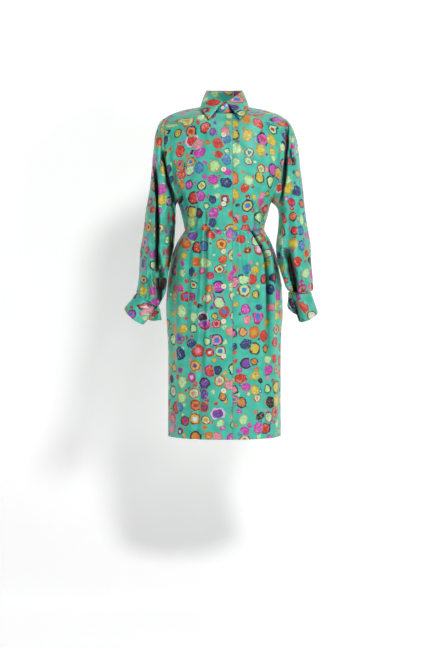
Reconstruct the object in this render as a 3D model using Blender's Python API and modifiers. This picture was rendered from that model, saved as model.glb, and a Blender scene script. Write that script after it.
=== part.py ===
"""Long-sleeved silk shirt dress, hollow and shaped as it is worn.

Each piece that is cut and sewn is a thin wall of its own: two fronts, a back and a yoke over the
shoulders, a collar on a stand, two sleeves with open cuffs, and a skirt of two fronts and a back.
The right front laps over the left one and is buttoned from the neck to above the knee.

Metres, +Z up. The origin is the middle of the neck between the two shoulder seams, the front faces
-Y and the wearer's left is +X. Shapes are given for the wearer's left side and mirrored for the right.
"""

import math
from typing import NamedTuple

import bmesh
import bpy
from mathutils import Vector

WALL = 0.0015  # thickness of the cloth walls
SEAM = 0.0003  # gap between two pieces that are sewn together
YOKE_GAP = 0.0006  # the same at the yoke's back and front seams, which lie at a slant
STAND_GAP = 0.00075  # and between the collar's stand and the neckline
SIDE_GAP = 0.0004  # from the side seam of the bodice to either piece
ARMHOLE_GAP = 0.0006  # sideways between a sleeve and its armhole at the underarm
ARMHOLE_TOP_GAP = 0.0009  # and at the shoulder, where the sleeve's head turns down
ARMHOLE_GAP_LIFT = 0.64  # share of that gap that the sleeve is also lifted by
ARMHOLE_GAP_RINGS = 0.5  # it dies away over about this many rings

WAIST_Z = -0.394
HEM_Z = -1.053
UNDERARM_Z = -0.304

OVERLAP = 0.025  # how far the right front reaches past the centre
UNDERLAP = 0.021  # how far the left front reaches under it
TUCK = 0.0026  # how far the left front and its skirt lie behind the right ones
TUCK_FULL_X = 0.029  # the whole of it up to here
TUCK_END_X = 0.046  # and none beyond here
TUCK_DROP = 0.002  # how far the left front also lies below the right one at the neck
TUCK_DROP_Z = -0.080  # from this height up

NECK_HALF_WIDTH = 0.066
NECK_FRONT = 0.077  # from the origin to the neck seam at the centre front
NECK_BACK = 0.062
NECK_SIDE_Z = -0.007
NECK_TILT = 0.018  # how far the seam falls from its side to the front, and rises to the back
NECK_DIP = 0.003  # how much lower both are than that straight tilt

# Rows of the bodice's grid, counted up from the waist on the front and on the back
UNDERARM_ROW = 4
CHEST_ROW = 12
FRONT_TOP_ROW = 17
YOKE_NECK_ROW = 16
YOKE_TOP_ROW = 23
CHEST_TURN = 60.0  # the armhole's turn, from its top, at the chest row
FRONT_SEAM_TURN = 15.0  # and where the yoke's front seam meets it
NECK_SEAM_TURN = 75.0  # where that seam meets the neckline, from the centre front
BODICE_COLUMNS = 12
CROWN_POWER = 4  # how late a row falls towards the shoulder's tip

SKIRT_ROWS = 10
SKIRT_ROW_POWER = 1.35  # above 1, its rows lie closer together at the waist
FRONT_SKIRT_COLUMNS = 24
BACK_SKIRT_COLUMNS = 40
LAP_COLUMNS = 2
SLEEVE_ROWS = 14
CUFF_COLUMNS = 26
CUFF_ROWS = 3
CUFF_FIRST_TURN = 192.0  # the front half's end curls past the innermost point
CUFF_LAST_TURN = -118.0  # where the back half leaves the round of the cuff
CUFF_ROUND_SHARE = 0.84  # share of the cuff's length that goes round the wrist
CUFF_SEAM_DROP = 0.0007  # gap between a cuff and its sleeve, along the cuff
STAND_STEP = 15.0  # degrees from one column of the collar to the next
STAND_LAP_TURN = 15.0  # how far each end of the stand passes the centre front

BUTTON_X = -0.003
BUTTON_RADIUS = 0.008
STAND_BUTTON_RADIUS = 0.0055
STAND_BUTTON_X = -0.006
STAND_BUTTON_Z = -0.011
BUTTON_STEPS = 14
FIRST_BODICE_BUTTON_Z = -0.097
BODICE_BUTTON_STEP = 0.1075
BODICE_BUTTONS = 3
FIRST_SKIRT_BUTTON_Z = -0.461
SKIRT_BUTTON_STEP = 0.1092
SKIRT_BUTTONS = 5


class Profile(NamedTuple):
    """How far the cloth stands before and behind the origin, at a height."""

    z: float
    front: float
    back: float


class SideSeam(NamedTuple):
    z: float
    half_width: float


class BodiceRow(NamedTuple):
    """A row of the bodice's grid, from the centre or the neckline to the side or the armhole."""

    row: float
    centre_z: float
    turn: float  # how far the row has turned to the side when it ends, in degrees
    bulge: float  # how far its middle stands out beyond that arc
    ease: float  # power by which it leaves the level of the centre
    crown: float  # share of its fall that comes at the shoulder's tip


class Ring(NamedTuple):
    """A ring of a sleeve, by its outermost and innermost points seen from the front."""

    ring: float
    outer_x: float
    outer_z: float
    inner_x: float
    inner_z: float
    middle_y: float
    half_depth: float
    swell: float  # how far the front and back of the ring lean outwards
    back_rise: float = 0.0  # how much higher its back is than its front


class Fold(NamedTuple):
    """A fold or pleat that springs from the waist seam and dies away up or down the cloth."""

    waist_x: float
    far_x: float
    far_z: float
    width: float
    depth: float
    ridge: float  # how far the cloth on its outer side stands out


class SleeveFold(NamedTuple):
    turn: float
    first_ring: float
    last_ring: float
    width: float  # degrees
    depth: float


class CollarColumn(NamedTuple):
    """The collar at a turn round the neck: its rolled top and the edge where it ends."""

    turn: float
    top_x: float
    top_y: float
    top_z: float
    edge_x: float
    edge_y: float
    edge_z: float


class Roll(NamedTuple):
    """A row of the collar's roll, from the top of the stand."""

    out: float
    up: float


class ButtonPoint(NamedTuple):
    """A point of a button's outline, from the middle of its face round to its back."""

    radius_share: float
    height: float


PROFILE = (
    Profile(HEM_Z, 0.119, 0.127),
    Profile(-0.850, 0.122, 0.130),
    Profile(-0.650, 0.1255, 0.133),
    Profile(-0.570, 0.124, 0.130),
    Profile(-0.500, 0.119, 0.120),
    Profile(-0.440, 0.110, 0.102),
    Profile(WAIST_Z, 0.098, 0.083),
    Profile(-0.350, 0.106, 0.091),
    Profile(-0.300, 0.113, 0.100),
    Profile(-0.250, 0.1195, 0.106),
    Profile(-0.200, 0.122, 0.1095),
    Profile(-0.150, 0.1175, 0.109),
    Profile(-0.104, 0.107, 0.1035),
    Profile(-0.060, 0.092, 0.088),
    Profile(-0.028, NECK_FRONT, 0.075),
    Profile(0.008, 0.070, NECK_BACK),
)

SIDE_SEAM = (
    SideSeam(HEM_Z, 0.181),
    SideSeam(-0.950, 0.1805),
    SideSeam(-0.745, 0.1805),
    SideSeam(-0.650, 0.1845),
    SideSeam(-0.570, 0.1805),
    SideSeam(-0.515, 0.1725),
    SideSeam(-0.475, 0.1635),
    SideSeam(-0.440, 0.151),
    SideSeam(-0.420, 0.1405),
    SideSeam(WAIST_Z, 0.127),
    SideSeam(-0.352, 0.135),
    SideSeam(-0.325, 0.142),
    SideSeam(UNDERARM_Z, 0.149),
)

FRONT_ROWS = (
    BodiceRow(0, WAIST_Z, 90.0, 0.0, 2.0, 0.0),
    BodiceRow(UNDERARM_ROW, -0.292, 88.0, 0.0, 2.0, 0.0),
    BodiceRow(8, -0.160, 62.0, 0.0, 2.0, 0.0),
    BodiceRow(10, -0.094, 52.0, 0.004, 2.1, 0.0),
    BodiceRow(CHEST_ROW, -0.028, 42.0, 0.014, 2.2, 0.0),
    BodiceRow(14, -0.024, 32.0, 0.010, 1.6, 0.2),
    BodiceRow(FRONT_TOP_ROW, -0.010, 18.0, 0.001, 1.0, 0.5),
)

BACK_ROWS = (
    BodiceRow(0, WAIST_Z, 90.0, 0.0, 2.0, 0.0),
    BodiceRow(UNDERARM_ROW, -0.296, 88.0, 0.0, 2.0, 0.0),
    BodiceRow(8, -0.200, 62.0, 0.0, 2.0, 0.0),
    BodiceRow(CHEST_ROW, -0.104, 50.0, 0.0, 2.0, 0.0),
)

YOKE_ROWS = (
    BodiceRow(CHEST_ROW, -0.104, 50.0, 0.0, 2.0, 0.0),
    BodiceRow(14, -0.048, 46.0, 0.006, 2.0, 0.1),
    BodiceRow(YOKE_NECK_ROW, 0.008, 42.0, 0.008, 1.7, 0.2),
    BodiceRow(19, 0.004, 30.0, 0.003, 1.2, 0.4),
    BodiceRow(YOKE_TOP_ROW, -0.010, 18.0, 0.001, 1.0, 0.5),
)

ARMHOLE = Ring(0, 0.188, -0.037, 0.149, UNDERARM_Z, 0.0, 0.068, 0.018)

LEFT_SLEEVE = (
    ARMHOLE,
    Ring(1, 0.2010, -0.0475, 0.1515, -0.3060, 0.0, 0.0690, 0.017),
    Ring(2, 0.2140, -0.0660, 0.1545, -0.3080, 0.0, 0.0690, 0.014),
    Ring(3, 0.2290, -0.1060, 0.1580, -0.3105, 0.0, 0.0680, 0.010),
    Ring(4, 0.2390, -0.1700, 0.1620, -0.3140, 0.0, 0.0660, 0.005),
    Ring(5, 0.2490, -0.2550, 0.1670, -0.3200, -0.002, 0.0620, 0.0),
    Ring(6, 0.2590, -0.3350, 0.1730, -0.3370, -0.006, 0.0590, 0.0),
    Ring(7, 0.2670, -0.3920, 0.1710, -0.3860, -0.014, 0.0570, 0.0),
    Ring(8, 0.2740, -0.4580, 0.1645, -0.4480, -0.030, 0.0550, 0.0),
    Ring(9, 0.2770, -0.5220, 0.1760, -0.5200, -0.045, 0.0520, 0.0),
    Ring(10, 0.2750, -0.5680, 0.1930, -0.5660, -0.058, 0.0460, 0.0),
    Ring(11, 0.2730, -0.5930, 0.2070, -0.5940, -0.065, 0.0340, 0.0, 0.010),
)

RIGHT_SLEEVE = (
    ARMHOLE,
    Ring(1, 0.2000, -0.0475, 0.1510, -0.3070, 0.0, 0.0690, 0.017),
    Ring(2, 0.2110, -0.0660, 0.1528, -0.3100, 0.0, 0.0690, 0.014),
    Ring(3, 0.2225, -0.1060, 0.1545, -0.3140, 0.0, 0.0680, 0.010),
    Ring(4, 0.2290, -0.1700, 0.1558, -0.3200, 0.0, 0.0660, 0.005),
    Ring(5, 0.2375, -0.2600, 0.1565, -0.3310, -0.002, 0.0620, 0.0),
    Ring(6, 0.2510, -0.3350, 0.1570, -0.3500, -0.006, 0.0590, 0.0),
    Ring(7, 0.2580, -0.3920, 0.1585, -0.3940, -0.014, 0.0570, 0.0),
    Ring(8, 0.2670, -0.4580, 0.1630, -0.4560, -0.030, 0.0550, 0.0),
    Ring(9, 0.2705, -0.5220, 0.1780, -0.5240, -0.045, 0.0520, 0.0),
    Ring(10, 0.2740, -0.5720, 0.1880, -0.5880, -0.058, 0.0460, 0.0),
    Ring(11, 0.2780, -0.5980, 0.2090, -0.6380, -0.066, 0.0340, 0.0, 0.012),
)

# Each cuff: its ring at the sleeve, its ring at the edge, and the free end of its back half
LEFT_CUFF = (
    LEFT_SLEEVE[-1]._replace(ring=0),
    Ring(1, 0.2940, -0.6620, 0.2350, -0.6900, -0.082, 0.0360, 0.0, 0.020),
)
LEFT_CUFF_END = (Vector((0.2040, -0.034, -0.5920)), Vector((0.2010, -0.050, -0.6320)))
RIGHT_CUFF = (
    RIGHT_SLEEVE[-1]._replace(ring=0),
    Ring(1, 0.3160, -0.6520, 0.2520, -0.7000, -0.084, 0.0360, 0.0, 0.024),
)
RIGHT_CUFF_END = (Vector((0.2080, -0.036, -0.6400)), Vector((0.2000, -0.052, -0.6760)))

LEFT_SKIRT_FOLDS = (
    Fold(0.085, 0.139, -0.900, 0.013, 0.010, 0.006),
    Fold(0.052, 0.060, -0.560, 0.010, 0.005, 0.003),
)
RIGHT_SKIRT_FOLDS = (
    Fold(0.059, 0.088, -1.040, 0.012, 0.007, 0.005),
    Fold(0.100, 0.126, -0.900, 0.013, 0.007, 0.005),
)
BACK_SKIRT_FOLDS = (
    Fold(0.050, 0.064, -0.900, 0.014, 0.008, 0.005),
    Fold(0.085, 0.112, -0.780, 0.014, 0.008, 0.005),
    Fold(-0.046, -0.070, -0.950, 0.014, 0.008, 0.005),
    Fold(-0.083, -0.106, -0.740, 0.014, 0.008, 0.005),
)
LEFT_BODICE_FOLDS = (
    Fold(0.099, 0.092, -0.300, 0.012, 0.006, 0.004),
    Fold(0.062, 0.058, -0.340, 0.010, 0.004, 0.003),
)
RIGHT_BODICE_FOLDS = (
    Fold(0.062, 0.066, -0.320, 0.011, 0.005, 0.004),
    Fold(0.098, 0.096, -0.310, 0.012, 0.005, 0.004),
)
BACK_BODICE_FOLDS = (
    Fold(0.060, 0.066, -0.280, 0.013, 0.006, 0.004),
    Fold(-0.058, -0.062, -0.270, 0.013, 0.006, 0.004),
)
FOLD_RISE = 0.08  # share of a fold's length over which it opens from the seam
FOLD_FADE = 0.3  # and from which it dies away
FOLD_RIDGE_AT = 1.7  # from a fold's crease to its ridge, in widths of the fold

LEFT_SLEEVE_FOLDS = (
    SleeveFold(62.0, 1.0, 5.5, 16.0, 0.006),
    SleeveFold(112.0, 6.0, 10.6, 18.0, 0.008),
    SleeveFold(150.0, 6.6, 9.4, 16.0, 0.006),
    SleeveFold(250.0, 4.0, 10.2, 20.0, 0.007),
)
RIGHT_SLEEVE_FOLDS = (
    SleeveFold(84.0, 4.2, 10.8, 15.0, 0.008),
    SleeveFold(128.0, 5.0, 9.8, 17.0, 0.007),
    SleeveFold(50.0, 1.0, 4.5, 15.0, 0.005),
    SleeveFold(262.0, 4.0, 10.2, 20.0, 0.007),
)
SLEEVE_FOLD_POWER = 0.8  # below 1, a sleeve's fold keeps its depth for longer
SLEEVE_RIDGE = 0.33  # a sleeve fold's two ridges, as a share of its depth
SLEEVE_RIDGE_AT = 1.8
GATHERS = 7  # waves of cloth taken in at a cuff
GATHER_DEPTH = 0.004
GATHER_FIRST_RING = 8.8
GATHER_FULL_RING = 10.2

COLLAR = (
    CollarColumn(0, 0.000, -0.0725, 0.0050, 0.046, -0.0975, -0.0510),
    CollarColumn(15, 0.0150, -0.0705, 0.0120, 0.055, -0.0955, -0.0410),
    CollarColumn(30, 0.0290, -0.0655, 0.0210, 0.065, -0.0850, -0.0270),
    CollarColumn(60, 0.0480, -0.0420, 0.0370, 0.0755, -0.0480, -0.0060),
    CollarColumn(90, 0.0545, -0.0020, 0.0470, 0.0760, -0.0020, 0.0000),
    CollarColumn(112, 0.0510, 0.0190, 0.0490, 0.0715, 0.0260, 0.0050),
    CollarColumn(135, 0.0400, 0.0370, 0.0500, 0.0590, 0.0540, 0.0080),
    CollarColumn(160, 0.0200, 0.0500, 0.0510, 0.0320, 0.0750, 0.0040),
    CollarColumn(180, 0.0000, 0.0530, 0.0510, 0.0000, 0.0800, 0.0010),
)
LEAF_FIRST_TURN = 3.0  # the leaf starts this far from the centre front
LEAF_ROLL = (
    Roll(0.0, 0.0),
    Roll(0.00104, 0.00208),
    Roll(0.00338, 0.00182),
    Roll(0.0052, -0.0026),
)
LEAF_ROWS = 6
LEAF_BELLY = 0.002  # how far the fall stands out between its roll and its edge

BUTTON_PROFILE = (
    ButtonPoint(0.0, 0.0014),
    ButtonPoint(0.55, 0.0014),
    ButtonPoint(0.72, 0.0022),
    ButtonPoint(0.92, 0.0021),
    ButtonPoint(1.0, 0.0012),
    ButtonPoint(0.90, 0.0),
    ButtonPoint(0.0, 0.0),
)
RAY_Y = -1.0  # a button's seat is looked for from this far in front


def along(table, at):
    """The row of a table at a value of its first column, on a smooth curve through its rows."""
    last = len(table) - 1
    step = max(i for i in range(last) if i == 0 or table[i][0] <= at)
    low, high = table[step], table[step + 1]
    span = high[0] - low[0]
    t = (at - low[0]) / span

    def slope(i, column):
        before, after = table[max(i - 1, 0)], table[min(i + 1, last)]
        return (after[column] - before[column]) / (after[0] - before[0])

    def value(column):
        a, b = low[column], high[column]
        curve = (2 * a - 2 * b + span * (slope(step, column) + slope(step + 1, column))) * t**3
        curve += (3 * b - 3 * a - span * (2 * slope(step, column) + slope(step + 1, column))) * t**2
        return curve + span * slope(step, column) * t + a

    return type(low)(*(value(column) for column in range(len(low))))


def smooth(low, high, value):
    """0 below low, 1 above high, and an S-curve between them."""
    t = min(max((value - low) / (high - low), 0.0), 1.0)
    return t * t * (3 - 2 * t)


def between(low, high, share):
    return low + (high - low) * share


def hump(distance, width):
    return math.exp(-((distance / width) ** 2))


def mirrored(point):
    return Vector((-point.x, point.y, point.z))


# ---------------------------------------------------------------- the dress's lines


def neckline(turn):
    """A point of the neck seam, by its turn from the centre front towards the wearer's left."""
    angle = math.radians(turn)
    depth = NECK_FRONT if math.cos(angle) > 0 else NECK_BACK
    z = NECK_SIDE_Z - NECK_TILT * math.cos(angle) - NECK_DIP * math.cos(angle) ** 2
    return Vector((NECK_HALF_WIDTH * math.sin(angle), -depth * math.cos(angle), z))


def on_ring(ring, turn):
    """A point of a ring: 0 degrees at its outermost point, 90 at the front, 180 innermost."""
    angle = math.radians(turn)
    middle_x = (ring.outer_x + ring.inner_x) / 2
    middle_z = (ring.outer_z + ring.inner_z) / 2
    x = middle_x + (ring.outer_x - middle_x) * math.cos(angle) + ring.swell * math.sin(angle) ** 2
    y = ring.middle_y - ring.half_depth * math.sin(angle)
    z = middle_z + (ring.outer_z - middle_z) * math.cos(angle)
    return Vector((x, y, z + ring.back_rise * (1 - math.sin(angle)) / 2))


def front_turn(row):
    """The armhole's turn at a row of the front."""
    if row <= CHEST_ROW:
        share = (row - UNDERARM_ROW) / (CHEST_ROW - UNDERARM_ROW)
        return between(180.0, CHEST_TURN, share)
    return between(CHEST_TURN, FRONT_SEAM_TURN, (row - CHEST_ROW) / (FRONT_TOP_ROW - CHEST_ROW))


def back_turn(row):
    """The armhole's turn at a row of the back or the yoke."""
    if row <= CHEST_ROW:
        share = (row - UNDERARM_ROW) / (CHEST_ROW - UNDERARM_ROW)
        return between(180.0, 360.0 - CHEST_TURN, share)
    share = (row - CHEST_ROW) / (YOKE_TOP_ROW - CHEST_ROW)
    return between(360.0 - CHEST_TURN, 360.0 + FRONT_SEAM_TURN, share)


def side_point(row, way, armhole_turn):
    """Where a bodice row ends: on the side seam, or above it on the armhole."""
    if row > UNDERARM_ROW:
        return on_ring(ARMHOLE, armhole_turn(row))
    z = between(WAIST_Z, UNDERARM_Z, row / UNDERARM_ROW)
    return Vector((along(SIDE_SEAM, z).half_width, way * SIDE_GAP, z))


def bodice_arc(shape, start, end, across, way):
    """A point of a bodice row, a share of the way across from its start to its end."""
    turn = math.radians(shape.turn)
    bend = (1 - math.cos(turn * across)) / (1 - math.cos(turn))
    fall = (1 - shape.crown) * abs(across) ** shape.ease + shape.crown * across**CROWN_POWER
    return Vector(
        (
            between(start.x, end.x, math.sin(turn * across) / math.sin(turn)),
            between(start.y, end.y, bend) + way * shape.bulge * math.sin(math.pi * across) ** 2,
            between(start.z, end.z, fall),
        )
    )


def tucked(point):
    """The point moved behind the right front near the centre, and down where the cloth lies back."""
    near = 1 - smooth(TUCK_FULL_X, TUCK_END_X, point.x)
    down = TUCK_DROP * smooth(TUCK_DROP_Z, NECK_SIDE_Z - NECK_TILT, point.z)
    return point + Vector((0, TUCK * near, -down * near))


def folded(point, folds, outwards):
    """The point moved in or out by the folds that spring from the waist seam."""
    move = 0.0
    for fold in folds:
        share = (point.z - WAIST_Z) / (fold.far_z - WAIST_Z)
        if not 0 < share < 1:
            continue
        strength = smooth(0, FOLD_RISE, share) * (1 - smooth(FOLD_FADE, 1, share))
        aside = point.x - between(fold.waist_x, fold.far_x, 1 - (1 - share) ** 2)
        outer = math.copysign(FOLD_RIDGE_AT * fold.width, fold.waist_x)
        move -= strength * fold.depth * hump(aside, fold.width)
        move += strength * fold.ridge * hump(aside - outer, fold.width)
    return point + move * outwards


def ellipse_normal(point, half_width, depth):
    return Vector((point.x / half_width**2, point.y / depth**2, 0)).normalized()


# ---------------------------------------------------------------- the pieces' surfaces


def lap_share(shape, end, lap_x):
    """How far across a row lies at lap_x beyond the centre, as a negative share."""
    turn = math.radians(shape.turn)
    return -math.asin(lap_x * math.sin(turn) / end.x) / turn


def front_bodice_point(row, column, lap_x, folds):
    """The front, for the wearer's left side, with columns below 0 on its lap past the centre."""
    shape = along(FRONT_ROWS, row)
    end = side_point(row, -1, front_turn)
    if row <= CHEST_ROW:
        start = Vector((0, -along(PROFILE, shape.centre_z).front, shape.centre_z))
    else:
        share = (row - CHEST_ROW) / (FRONT_TOP_ROW - CHEST_ROW)
        start = neckline(NECK_SEAM_TURN * share)
    across = column / BODICE_COLUMNS
    if column < 0:
        across = lap_share(shape, end, lap_x) * -column / LAP_COLUMNS
    point = bodice_arc(shape, start, end, across, -1)
    return folded(point, folds, ellipse_normal(point, end.x, -start.y))


def back_bodice_point(row, column, folds):
    shape = along(BACK_ROWS, row)
    side = math.copysign(1, column)
    start = Vector((0, along(PROFILE, shape.centre_z).back, shape.centre_z))
    end = side_point(row, 1, back_turn)
    point = bodice_arc(shape, start, end, abs(column) / BODICE_COLUMNS, 1)
    if side < 0:
        point = mirrored(point)
    return folded(point, folds, ellipse_normal(point, end.x, start.y))


def yoke_point(row, column):
    """The yoke, from the back seam over the shoulder; its upper rows start on the neckline."""
    shape = along(YOKE_ROWS, row)
    end = on_ring(ARMHOLE, back_turn(row))
    if row <= YOKE_NECK_ROW:
        start = Vector((0, along(PROFILE, shape.centre_z).back, shape.centre_z))
    else:
        share = (row - YOKE_NECK_ROW) / (YOKE_TOP_ROW - YOKE_NECK_ROW)
        start = neckline(between(180.0, NECK_SEAM_TURN, share))
    way = between(1, -1, smooth(YOKE_NECK_ROW, YOKE_TOP_ROW, row))
    point = bodice_arc(shape, start, end, column / BODICE_COLUMNS, way)
    gap = YOKE_GAP if row in (CHEST_ROW, YOKE_TOP_ROW) else SEAM
    return point + Vector((0, gap, gap))


def skirt_section(z, turn):
    """A point of the skirt's tube at a turn from the centre front to the wearer's left."""
    angle = math.radians(turn)
    profile = along(PROFILE, z)
    depth = profile.front if math.cos(angle) > 0 else profile.back
    half_width = along(SIDE_SEAM, z).half_width
    point = Vector((half_width * math.sin(angle), -depth * math.cos(angle), z))
    return point, ellipse_normal(point, half_width, depth)


def skirt_z(row):
    return between(WAIST_Z - SEAM, HEM_Z, (row / SKIRT_ROWS) ** SKIRT_ROW_POWER)


def front_skirt_point(row, column, lap_x, folds):
    z = skirt_z(row)
    half_width = along(SIDE_SEAM, z).half_width
    side_turn = 90 - math.degrees(SEAM / along(PROFILE, z).front)
    turn = side_turn * column / FRONT_SKIRT_COLUMNS
    if column < 0:
        turn = -math.degrees(math.asin(lap_x / half_width)) * -column / LAP_COLUMNS
    point, outwards = skirt_section(z, turn)
    return folded(point, folds, outwards)


def back_skirt_point(row, column, folds):
    z = skirt_z(row)
    side_turn = 90 + math.degrees(SEAM / along(PROFILE, z).back)
    share = column / BACK_SKIRT_COLUMNS
    point, outwards = skirt_section(z, between(side_turn, 360 - side_turn, share))
    return folded(point, folds, outwards)


def sleeve_turns():
    """The turns of a sleeve's columns, one at each row that ends on the armhole."""
    fronts = [front_turn(row) for row in range(FRONT_TOP_ROW, UNDERARM_ROW, -1)]
    backs = [back_turn(row) for row in range(UNDERARM_ROW, YOKE_TOP_ROW + 1)]
    return fronts + backs


def sleeve_point(rings, folds, at, turn):
    ring = along(rings, at)
    point = on_ring(ring, turn)
    middle = (on_ring(ring, 0) + on_ring(ring, 180)) / 2
    outwards = (point - middle).normalized()
    move = 0.0
    for fold in folds:
        if fold.first_ring < at < fold.last_ring:
            share = (at - fold.first_ring) / (fold.last_ring - fold.first_ring)
            aside = (turn - fold.turn + 180) % 360 - 180
            depth = fold.depth * math.sin(math.pi * share) ** SLEEVE_FOLD_POWER
            ridge_at = SLEEVE_RIDGE_AT * fold.width
            ridges = hump(aside - ridge_at, fold.width) + hump(aside + ridge_at, fold.width)
            move += depth * (SLEEVE_RIDGE * ridges - hump(aside, fold.width))
    gathered = smooth(GATHER_FIRST_RING, GATHER_FULL_RING, at)
    gathered *= 1 - smooth(GATHER_FULL_RING, rings[-1].ring, at)
    move += GATHER_DEPTH * gathered * math.cos(math.radians(GATHERS * turn))
    top = max(0.0, math.cos(math.radians(turn)))
    gap = between(ARMHOLE_GAP, ARMHOLE_TOP_GAP, top) * math.exp(-at / ARMHOLE_GAP_RINGS)
    return point + move * outwards + Vector((gap, 0, ARMHOLE_GAP_LIFT * gap))


def cuff_point(rings, end, share, down):
    """A cuff: from the curled end of its front half, round the wrist, to the free end at the back."""
    low = rings[0]._make(between(a, b, down) for a, b in zip(*rings))
    drop = (on_ring(rings[1], 0) - on_ring(rings[0], 0)).normalized() * CUFF_SEAM_DROP
    if share <= CUFF_ROUND_SHARE:
        turn = between(CUFF_FIRST_TURN, CUFF_LAST_TURN, share / CUFF_ROUND_SHARE)
        return on_ring(low, turn) + drop
    leaving = on_ring(low, CUFF_LAST_TURN) + drop
    step = (CUFF_FIRST_TURN - CUFF_LAST_TURN) / (CUFF_ROUND_SHARE * CUFF_COLUMNS)
    heading = leaving - on_ring(low, CUFF_LAST_TURN + step) - drop
    t = (share - CUFF_ROUND_SHARE) / (1 - CUFF_ROUND_SHARE)
    goal = end[0].lerp(end[1], down)
    pull = heading.normalized() * (goal - leaving).length
    return leaving + pull * (t * (1 - t)) + (goal - leaving) * t


def collar_column(turn):
    """The collar's column at a turn all round the neck, on the side where it lies."""
    column = along(COLLAR, abs((turn + 180) % 360 - 180))
    side = math.copysign(1, math.sin(math.radians(turn)))
    return column._replace(top_x=side * column.top_x, edge_x=side * column.edge_x)


def stand_point(turn, up):
    """The collar's stand, from the neckline up; its left end lies behind its right one."""
    column = collar_column(turn)
    base = neckline(turn) + Vector((0, 0, STAND_GAP))
    point = base.lerp(Vector((column.top_x, column.top_y, column.top_z)), up)
    return tucked(point) if turn < 90 else point


def leaf_point(turn, row):
    """The collar's leaf: from the stand's top it rolls over and falls to its edge."""
    column = collar_column(turn)
    top = Vector((column.top_x, column.top_y, column.top_z + 2 * SEAM))
    edge = Vector((column.edge_x, column.edge_y, column.edge_z))
    outwards = Vector((edge.x - top.x, edge.y - top.y, 0)).normalized()
    roll = LEAF_ROLL[min(row, len(LEAF_ROLL) - 1)]
    rolled = top + outwards * roll.out + Vector((0, 0, roll.up))
    if row < len(LEAF_ROLL):
        return rolled
    share = (row + 1 - len(LEAF_ROLL)) / (LEAF_ROWS + 1 - len(LEAF_ROLL))
    return rolled.lerp(edge, share) + outwards * LEAF_BELLY * math.sin(math.pi * share)


# ---------------------------------------------------------------- making the objects


def material(name, colour, roughness, metallic=0.0):
    made = bpy.data.materials.new(name)
    made.use_nodes = True
    shader = made.node_tree.nodes["Principled BSDF"]
    shader.inputs["Base Color"].default_value = (*colour, 1)
    shader.inputs["Roughness"].default_value = roughness
    shader.inputs["Metallic"].default_value = metallic
    return made


def new_object(name, mesh, finish, collection):
    mesh.materials.append(finish)
    made = bpy.data.objects.new(name, mesh)
    collection.objects.link(made)
    return made


def cloth(name, columns, rows, place, finish, collection, turned=False, keep=None):
    """A wall of cloth: a grid whose points are placed by column and row, thickened inwards."""
    grid = bmesh.new()
    bmesh.ops.create_grid(grid, x_segments=columns, y_segments=rows, size=1)
    for vertex in grid.verts:
        column = round((vertex.co.x + 1) / 2 * columns)
        row = round((vertex.co.y + 1) / 2 * rows)
        vertex.co = place(column, row)
    if keep:
        outside = [
            face
            for face in grid.faces
            if not keep(face.index % columns, face.index // columns)
        ]
        bmesh.ops.delete(grid, geom=outside, context="FACES")
    bmesh.ops.remove_doubles(grid, verts=grid.verts, dist=1e-6)
    if turned:
        bmesh.ops.reverse_faces(grid, faces=grid.faces)
    mesh = bpy.data.meshes.new(name)
    grid.to_mesh(mesh)
    grid.free()
    mesh.shade_smooth()
    made = new_object(name, mesh, finish, collection)
    wall = made.modifiers.new("Cloth wall", "SOLIDIFY")
    wall.thickness = WALL
    wall.offset = -1
    return made


def bodice(collection, silk):
    columns = BODICE_COLUMNS + LAP_COLUMNS

    def left(column, row):
        point = front_bodice_point(row, column - LAP_COLUMNS, UNDERLAP, LEFT_BODICE_FOLDS)
        return tucked(point)

    def right(column, row):
        return mirrored(
            front_bodice_point(row, column - LAP_COLUMNS, OVERLAP, RIGHT_BODICE_FOLDS)
        )

    def below_neck(column, row):
        return column >= LAP_COLUMNS or row < CHEST_ROW

    def back(column, row):
        return back_bodice_point(row, BODICE_COLUMNS - column, BACK_BODICE_FOLDS)

    rows = FRONT_TOP_ROW
    cloth("left_front_bodice", columns, rows, left, silk, collection, keep=below_neck)
    cloth("right_front_bodice", columns, rows, right, silk, collection, True, below_neck)
    cloth("back_bodice", 2 * BODICE_COLUMNS, CHEST_ROW, back, silk, collection)


def yoke(collection, silk):
    def place(column, row):
        return yoke_point(CHEST_ROW + row, column)

    rows = YOKE_TOP_ROW - CHEST_ROW
    made = cloth("back_yoke", BODICE_COLUMNS, rows, place, silk, collection, turned=True)
    mirror = made.modifiers.new("Both shoulders", "MIRROR")
    mirror.merge_threshold = 1e-5
    made.modifiers.move(1, 0)


def skirt(collection, silk):
    columns = FRONT_SKIRT_COLUMNS + LAP_COLUMNS

    def left(column, row):
        return tucked(
            front_skirt_point(row, column - LAP_COLUMNS, UNDERLAP, LEFT_SKIRT_FOLDS)
        )

    def right(column, row):
        return mirrored(
            front_skirt_point(row, column - LAP_COLUMNS, OVERLAP, RIGHT_SKIRT_FOLDS)
        )

    def back(column, row):
        return back_skirt_point(row, column, BACK_SKIRT_FOLDS)

    cloth("left_front_skirt", columns, SKIRT_ROWS, left, silk, collection, turned=True)
    cloth("right_front_skirt", columns, SKIRT_ROWS, right, silk, collection)
    cloth("back_skirt", BACK_SKIRT_COLUMNS, SKIRT_ROWS, back, silk, collection, turned=True)


def sleeve(name, rings, folds, side, collection, silk):
    turns = sleeve_turns()
    last_ring = rings[-1].ring

    def place(column, row):
        turn = turns[column % (len(turns) - 1)]
        point = sleeve_point(rings, folds, last_ring * row / SLEEVE_ROWS, turn)
        return point if side > 0 else mirrored(point)

    cloth(name, len(turns) - 1, SLEEVE_ROWS, place, silk, collection, turned=side < 0)


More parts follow.
